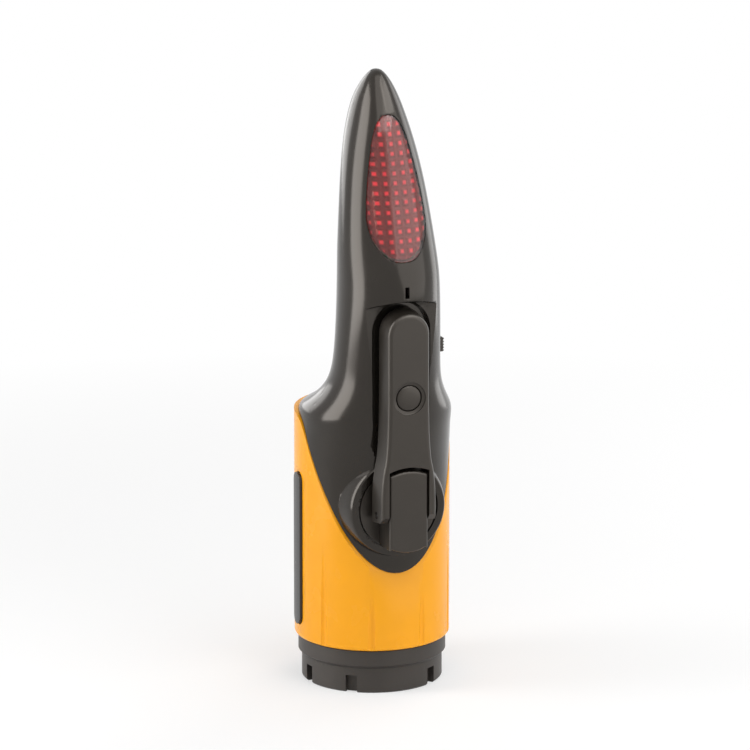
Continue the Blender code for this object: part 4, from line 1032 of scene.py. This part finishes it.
# %% Glass breaker
guard_out = bezel_radius + 6.7 * mm
guard_in = bezel_radius - 1.3 * mm
guard_round = 0.8 * mm
guard_bore = 2.1 * mm
guard_floor = guard_in + 1.6 * mm
guard_line = [(0, guard_in), (guard_radius, guard_in), (guard_radius, guard_out - guard_round),
              (guard_radius - guard_round, guard_out), (guard_bore, guard_out),
              (guard_bore, guard_floor), (0, guard_floor)]
guard = turned("guard", guard_line, guard_centre, to_back, 72)
soften(guard, 0.3 * mm, angle=30)
dress(guard, guard_red, "housing", "breaker_guard")
tip_radius = 1.7 * mm
tip_foot = guard_in + 1.8 * mm
tip_end = guard_out - 0.6 * mm
tip = turned("point", [(0, tip_foot), (tip_radius, tip_foot), (tip_radius, tip_end - 2.6 * mm),
                       (0.25 * mm, tip_end - 0.2 * mm), (0, tip_end)], guard_centre, to_back, 48)
soften(tip, 0.08 * mm, angle=50)
dress(tip, bright_steel, "housing", "breaker_tip")

# %% [markdown]
# The hub turns in its recess: a disc with a lug that the fork of the arm straddles. The lug's top is a
# shallow arch, which shows as a bright curved edge with a dark gap above it. It reaches past the disc,
# so its back is cut away there and clears the boss.

# %% Crank hub
lug_half = 6.75 * mm
lug_drop = 12.8 * mm
lug_crown = 1.4 * mm
lug_face = arm_face - fit_gap
hinge_spot = place(0, hinge_reach, hub_height)
pin_radius = 1.05 * mm
pin_bore = pin_radius + 0.2 * mm
close_merge = 0.04 * mm


def crown_arc(half, top):
    radius = (half ** 2 + lug_crown ** 2) / (2 * lug_crown)
    spread = asin(half / radius)
    return arc((0, top - radius), radius, pi / 2 - spread, pi / 2 + spread, 20)


hub = rod("hub", hub_radius, hub_face - 1.8 * mm, hub_face, hub_center, to_crank, 120)
low_turn = asin(lug_half / hub_radius)
low_corner = hub_height - sqrt(hub_radius ** 2 - lug_half ** 2)
low_arc = arc((0, hub_height), lug_drop, -pi / 2 - low_turn, -pi / 2 + low_turn, 20)
lug_line = [(-lug_half, low_corner)] + low_arc[1:-1] + [(lug_half, low_corner)]
lug = plate("lug", lug_line + crown_arc(lug_half, hub_height + lug_rise), hub_face - 0.9 * mm, lug_face)
round_rim(lug, 0.9 * mm, further_out(lug_face - 0.1 * mm), 4)
shape(hub, "UNION", lug)
beside = hub_radius + 0.15 * mm
behind = hub_face - 3 * mm
cut(hub, turned("boss_room", rectangle(beside, behind, beside + 4 * mm, boss_face + 0.3 * mm),
                hub_center, to_crank, 120),
    rod("shaft_bore", 3.2 * mm, behind, hub_face + 3 * mm, hub_center, to_crank),
    rod("pin_bore", pin_bore, -hub_radius, hub_radius, hinge_spot, to_right))
soften(hub, 0.3 * mm, merge=close_merge)
dress(hub, crank_black, "crank", "crank_hub")

# %% [markdown]
# The arm is an outline pulled up with sloping sides, as a mould needs. It is forked at the foot, has a
# channel behind for the knob, and a round cap in a shallow dish where the knob's pin is hidden.

# %% Crank arm
knob_radius = 3.3 * mm
arm_slope = 0.9 * mm
lug_gap = lug_half + fit_gap
fork_low = arm_foot - past
fork_side = fork_half + past
arm_front = arm_face + past
arm_behind = arm_back - past
channel_half = 3.7 * mm
channel_high = knob_height + 23.6 * mm
ceiling = knob_reach + knob_radius + 0.2 * mm
dish_floor = arm_face - 0.7 * mm
knob_spot = place(0, knob_reach, knob_height)
knob_bore = 1.1 * mm
cap_spot = place(0, 0, knob_height)
cap_radius = 4.35 * mm
cap_face = arm_face - 0.15 * mm
arm = plate("arm", arm_outline(), arm_back, arm_face, far_outline=arm_outline(arm_slope))
round_rim(arm, 1.3 * mm, further_out(arm_face - 0.1 * mm), 5)
fork_line = [(-lug_gap, fork_low), (lug_gap, fork_low)]
fork_line += crown_arc(lug_gap, hub_height + lug_rise + 1.4 * mm)
corner = [(arm_front, fork_low), (arm_front, hub_height + 1.1 * mm), (hinge_reach + 1.4 * mm, fork_low)]
cut(arm, plate("fork", fork_line, arm_behind, arm_front),
    rod("hinge_bore", pin_bore, -fork_side, fork_side, hinge_spot, to_right),
    plate("corner", corner, -fork_side, fork_side, "side"),
    plate("channel", rectangle(-channel_half, knob_height - knob_radius, channel_half, channel_high),
          arm_behind, ceiling),
    rod("knob_bore", knob_bore, -5.9 * mm, 5.9 * mm, knob_spot, to_right),
    turned("dish", [(0, dish_floor), (5.1 * mm, dish_floor), (5.6 * mm, dish_floor + 0.25 * mm),
                    (5.8 * mm, arm_front), (0, arm_front)], cap_spot, to_crank, 96),
    rod("cap_bore", cap_radius + 0.2 * mm, ceiling - past, arm_front, cap_spot, to_crank, 96))
soften(arm, 0.25 * mm, merge=close_merge)
dress(arm, crank_black, "arm", "crank_arm")
cap = turned("cap", [(0, ceiling), (cap_radius, ceiling), (cap_radius, cap_face - 0.75 * mm),
                     (4.15 * mm, cap_face - 0.4 * mm), (3.7 * mm, cap_face - 0.22 * mm),
                     (2.2 * mm, cap_face - 0.06 * mm), (0, cap_face)], cap_spot, to_crank, 96)
soften(cap, 0.1 * mm, angle=50)
dress(cap, crank_black, "arm", "pivot_cap")

# %% [markdown]
# The knob is a waisted grip that spins on a steel stem. The stem's eye turns on a pin across the arm,
# so knob and stem fold out together, square to the arm.

# %% Knob, stem and pins
grip_low = 3.3 * mm
grip_end = 23.2 * mm
grip_length = grip_end - grip_low
grip_round = 0.9 * mm
grip_bore = 1.7 * mm
waist = knob_radius * 0.86
grip_line = rounded([(knob_radius * 0.9, grip_low), (knob_radius, grip_low + grip_round),
                     (waist, grip_low + grip_length * 0.3), (waist, grip_low + grip_length * 0.6),
                     (knob_radius, grip_end - grip_round * 2), (knob_radius, grip_end - grip_round),
                     (knob_radius * 0.8, grip_end)])
grip_inside = [(0, grip_end - grip_round), (grip_bore, grip_end - grip_round), (grip_bore, grip_low)]
grip = turned("grip", grip_inside + grip_line + [(0, grip_end)], knob_spot, upward, 64)
soften(grip, 0.15 * mm, angle=50)
dress(grip, crank_black, "knob", "knob_grip")
eye_radius = 2.9 * mm
eye_half = 2.6 * mm
spindle_radius = 1.3 * mm
stem = rod("stem", eye_radius, -eye_half, eye_half, knob_spot, to_right)
spindle = rod("spindle", spindle_radius, 1.45 * mm, grip_end - 1.1 * mm, knob_spot, upward, 36)
shape(stem, "UNION", spindle)
cut(stem, rod("eye_bore", knob_bore, -4 * mm, 4 * mm, knob_spot, to_right, 36))
soften(stem, 0.2 * mm)
dress(stem, bright_steel, "stem", "knob_stem")
pin_plan = [("hinge_rod", pin_radius, fork_half - arm_slope, hinge_spot, "crank", "hinge_pin"),
            ("knob_rod", 0.9 * mm, 5.6 * mm, knob_spot, "arm", "knob_pin")]
for name, radius, half, spot, body, node in pin_plan:
    pin = rod(name, radius, -half, half, spot, to_right, 36)
    soften(pin, 0.2 * mm)
    dress(pin, bright_steel, body, node)

# %% [markdown]
# The flasher's lens is two layers. The outer one is a smooth clear cover that follows the handle's
# skin, so it is cut out of the skin itself and made thin from inside.

# %% Flasher cover
cover_wall = 0.7 * mm
cover = copy_of(skin, "lens_cover")
shape(cover, "INTERSECT", plate("cover_outline", teardrop(), housing_radius * 0.22, clear))
cover_rows = [(height - cover_wall, side - cover_wall, front - cover_wall, rear, middle)
              for height, side, front, rear, middle in sections
              if flasher_low - 16 * mm < height < tool_height - 2 * mm]
cut(cover, grow_skin("cover_inside", cover_rows))
soften(cover, 0.15 * mm, angle=45)
dress(cover, lens_cover, "housing", "flasher_lens")

# %% [markdown]
# Behind the cover lies a red plate of small prisms. A grid projected onto the drawn-in skin gives each
# prism its own face, and insetting every face at once raises them all. The raised points carry a value
# that the finish reads as a painted highlight, with painted shade in the valleys.

# %% Prism plate
prism_pitch = 3.1 * mm
prism_rise = 0.55 * mm
prism_depth = cover_wall + 1.2 * mm
prism_insets = [(0.25 * mm, 0), (0.55 * mm, prism_rise * 0.7), (0.40 * mm, prism_rise * 0.3)]
columns = 7
rows_up = 16
steepest = 0.94


def front_place(across, height, depth):
    """The point of the handle's front at a side and a height, drawn in by a depth."""
    above = next(i for i, section in enumerate(sections) if section[0] >= height)
    low, high = sections[above - 1], sections[above]
    share = (height - low[0]) / (high[0] - low[0])
    side, front, _, middle = [a + (b - a) * share for a, b in zip(low[1:], high[1:])]
    lean = min(abs(across) / side, steepest)
    return place(across, middle + (front - middle) * sqrt(1 - lean ** 2) - depth, height)


deselect()
bpy.ops.mesh.primitive_grid_add(x_subdivisions=columns, y_subdivisions=rows_up, size=1)
prisms = name_it("prism_plate")
for point in prisms.data.vertices:
    up = point.co.y * rows_up * prism_pitch
    point.co = front_place(point.co.x * columns * prism_pitch, flasher_middle + up, prism_depth)
# This value marks the raised points, where the finish paints highlights.
prisms.data.attributes.new("prism_peak", "FLOAT", "POINT")
open_edit(prisms)
bpy.ops.mesh.normals_make_consistent(inside=False)
grown = bmesh.from_edit_mesh(prisms.data)
if sum(face.normal.y for face in grown.faces) >= 0:
    bpy.ops.mesh.flip_normals()
for inset, rise in prism_insets:
    bpy.ops.mesh.inset(thickness=inset, depth=rise, use_individual=True)
grown = bmesh.from_edit_mesh(prisms.data)
peak = grown.verts.layers.float["prism_peak"]
for face in grown.faces:
    for point in face.verts:
        point[peak] = 1.0 if face.select else point[peak]
bmesh.update_edit_mesh(prisms.data)
close_edit()
modify(prisms, "SOLIDIFY", thickness=0.8 * mm, offset=-1)
shape(prisms, "INTERSECT", plate("prism_outline", teardrop(-0.5 * mm), housing_radius * 0.1, clear))
use(prisms)
bpy.ops.object.shade_smooth_by_angle(angle=radians(20))
dress(prisms, prism_red, "housing")
bpy.data.objects.remove(skin)

# %% [markdown]
# The small trim catches the eye when it is too plain. The switch's nub has ribs for the thumb, so its
# outline is drawn from the side, rib by rib. The indicator window is a dark pane deep in its slot.

# %% Switch nub and indicator window
trim_merge = 0.02 * mm
nub_face = switch_high[0]
nub_back = nub_face - 0.5 * mm
foot_face = switch_low[0] + 1.2 * mm
foot_half = 2.8 * mm
slider = plate("slider_foot", rectangle(switch_low[0], switch_low[2], foot_face, switch_high[2]),
               switch_reach - foot_half, switch_reach + foot_half)
nub_low = switch_middle - nub_rise
nub_high = switch_middle + nub_rise
ribs = 5
rib_step = (nub_high - nub_low) / ribs
nub = [(foot_face - 0.5 * mm, nub_low), (nub_back, nub_low)]
for i in range(ribs):
    nub += [(nub_face, nub_low + rib_step * (i + 0.3)), (nub_face, nub_low + rib_step * (i + 0.6)),
            (nub_face - 0.45 * mm, nub_low + rib_step * (i + 0.8))]
nub += [(nub_back, nub_high), (foot_face - 0.5 * mm, nub_high)]
shape(slider, "UNION", plate("nub", nub, switch_reach - nub_half, switch_reach + nub_half))
soften(slider, 0.1 * mm, merge=trim_merge)
dress(slider, matte_black, "slider", "switch_slider")
window_low, window_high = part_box("indicator_window")
window_half = 0.55 * mm
window_depth = 2.2 * mm
window = plate("window", rectangle(-window_half, window_low[2] + 0.2 * mm,
                                   window_half, window_high[2] - 0.2 * mm),
               axis_y - window_high[1], axis_y - window_low[1] - window_depth)
soften(window, 0.2 * mm, segments=3)
dress(window, smoked_red, "housing", "indicator_window")

# %% [markdown]
# The jack is a block with a round collar and a mouth that narrows in two steps. The two screws are
# turned with their heads to the back, and a cross is cut into each head.

# %% Jack and screws
jack_low, jack_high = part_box("charge_jack")
jack_back = axis_y - jack_high[1]
jack_face = axis_y - jack_low[1]
jack_half = jack_high[0]
jack = plate("jack_block", rectangle(-jack_half, jack_low[2], jack_half, jack_high[2]),
             jack_back, jack_face - 3 * mm)
shape(jack, "UNION", rod("jack_collar", 3.0 * mm, jack_back + 1 * mm, jack_face, jack_spot, to_crank))
mouth_end = jack_back + 2 * mm
mouth_line = [(0, mouth_end), (1.3 * mm, mouth_end), (1.3 * mm, jack_face - 0.6 * mm),
              (1.9 * mm, jack_face + 0.1 * mm), (1.9 * mm, jack_face + past), (0, jack_face + past)]
cut(jack, turned("jack_mouth", mouth_line, jack_spot, to_crank))
soften(jack, 0.2 * mm, merge=trim_merge)
dress(jack, matte_black, "housing", "charge_jack")
head_radius = 2.2 * mm
head_rise = 1.4 * mm
shank_radius = 1.0 * mm
for number, (side, height, ledge) in enumerate(screw_places, 1):
    node = f"housing_screw_{number}"
    screw_low, screw_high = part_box(node)
    head = axis_y - screw_high[1]
    end = axis_y - screw_low[1]
    screw = turned(f"housing_screw_{number}_body", [
        (0, head), (1.9 * mm, head), (head_radius, head + 0.3 * mm), (head_radius, head + head_rise),
        (shank_radius, head + head_rise), (shank_radius, end - 1 * mm), (0.3 * mm, end), (0, end)],
        place(side, 0, height), to_crank, 48)
    for along, across in ((1.4 * mm, 0.3 * mm), (0.3 * mm, 1.4 * mm)):
        arms = rectangle(side - along, height - across, side + along, height + across)
        cut(screw, plate("cross_slot", arms, head - past, head + 0.9 * mm))
    soften(screw, 0.1 * mm, merge=trim_merge)
    dress(screw, bright_steel, "housing", node)

# %% [markdown]
# The lanyard bar is one bent rod: a curve with a round bevel, made a mesh. The belt cutter's blade is
# a small plate across the slot, ground on the side that meets the belt.

# %% Lanyard bar and blade
bar_bend = 8.5 * mm
bend_centre = (bar_foot_reach + bar_bend, bar_top - bar_bend)
bar_route = [(bar_foot_reach, bar_low[2])] + arc(bend_centre, bar_bend, pi, pi / 2, 16)
bar_route += [(axis_y - bar_low[1], bar_top)]
deselect()
bpy.ops.curve.primitive_nurbs_path_add(location=(0, 0, 0))
bar = name_it("lanyard_rod")
bar.data.splines.clear()
bar_line = bar.data.splines.new("POLY")
bar_line.points.add(len(bar_route) - 1)
for point, (reach, height) in zip(bar_line.points, bar_route):
    point.co = (*place(0, reach, height), 1)
bar.data.bevel_depth = bar_radius
bar.data.bevel_resolution = 5
bar.data.use_fill_caps = True
bpy.ops.object.convert(target="MESH")
tidy(bar)
soften(bar, 0.2 * mm, angle=50)
dress(bar, bright_steel, "housing", "lanyard_bar")
blade_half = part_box("belt_blade")[1][0]
blade = plate("blade", blade_outline(), -blade_half, blade_half, "side")


def on_cutting_side(point):
    out = axis_y - point.y - slot_middle
    return (point.z - blade_height) * cos(blade_lean) - out * sin(blade_lean) < 0


round_rim(blade, blade_half * 0.9, on_cutting_side, 1)
dress(blade, blade_steel, "housing", "belt_blade")

# %% [markdown]
# Small pieces that the CAD model already has in a true shape keep their mesh and only get a finish:
# what is inside the housing, and the plain parts of the trim.

# %% Finishes for the nodes that stay
kept_finishes = {
    "strip_rubber": strip_rubber, "bright_steel": bright_steel, "natural_white": natural_white,
    "board_green": board_green, "cell_wrap": cell_wrap, "matte_black": matte_black,
    "lens_red": guard_red, "bush_brass": turned_brass, "crank_black": crank_black,
}
kept = [node for node in slots if node not in replaced]
for node in kept:
    for holder in frame["nodes"][node].material_slots:
        holder.link = "OBJECT"
        holder.material = kept_finishes[slots[node]]
print(f"{len(kept)} nodes keep their own mesh")
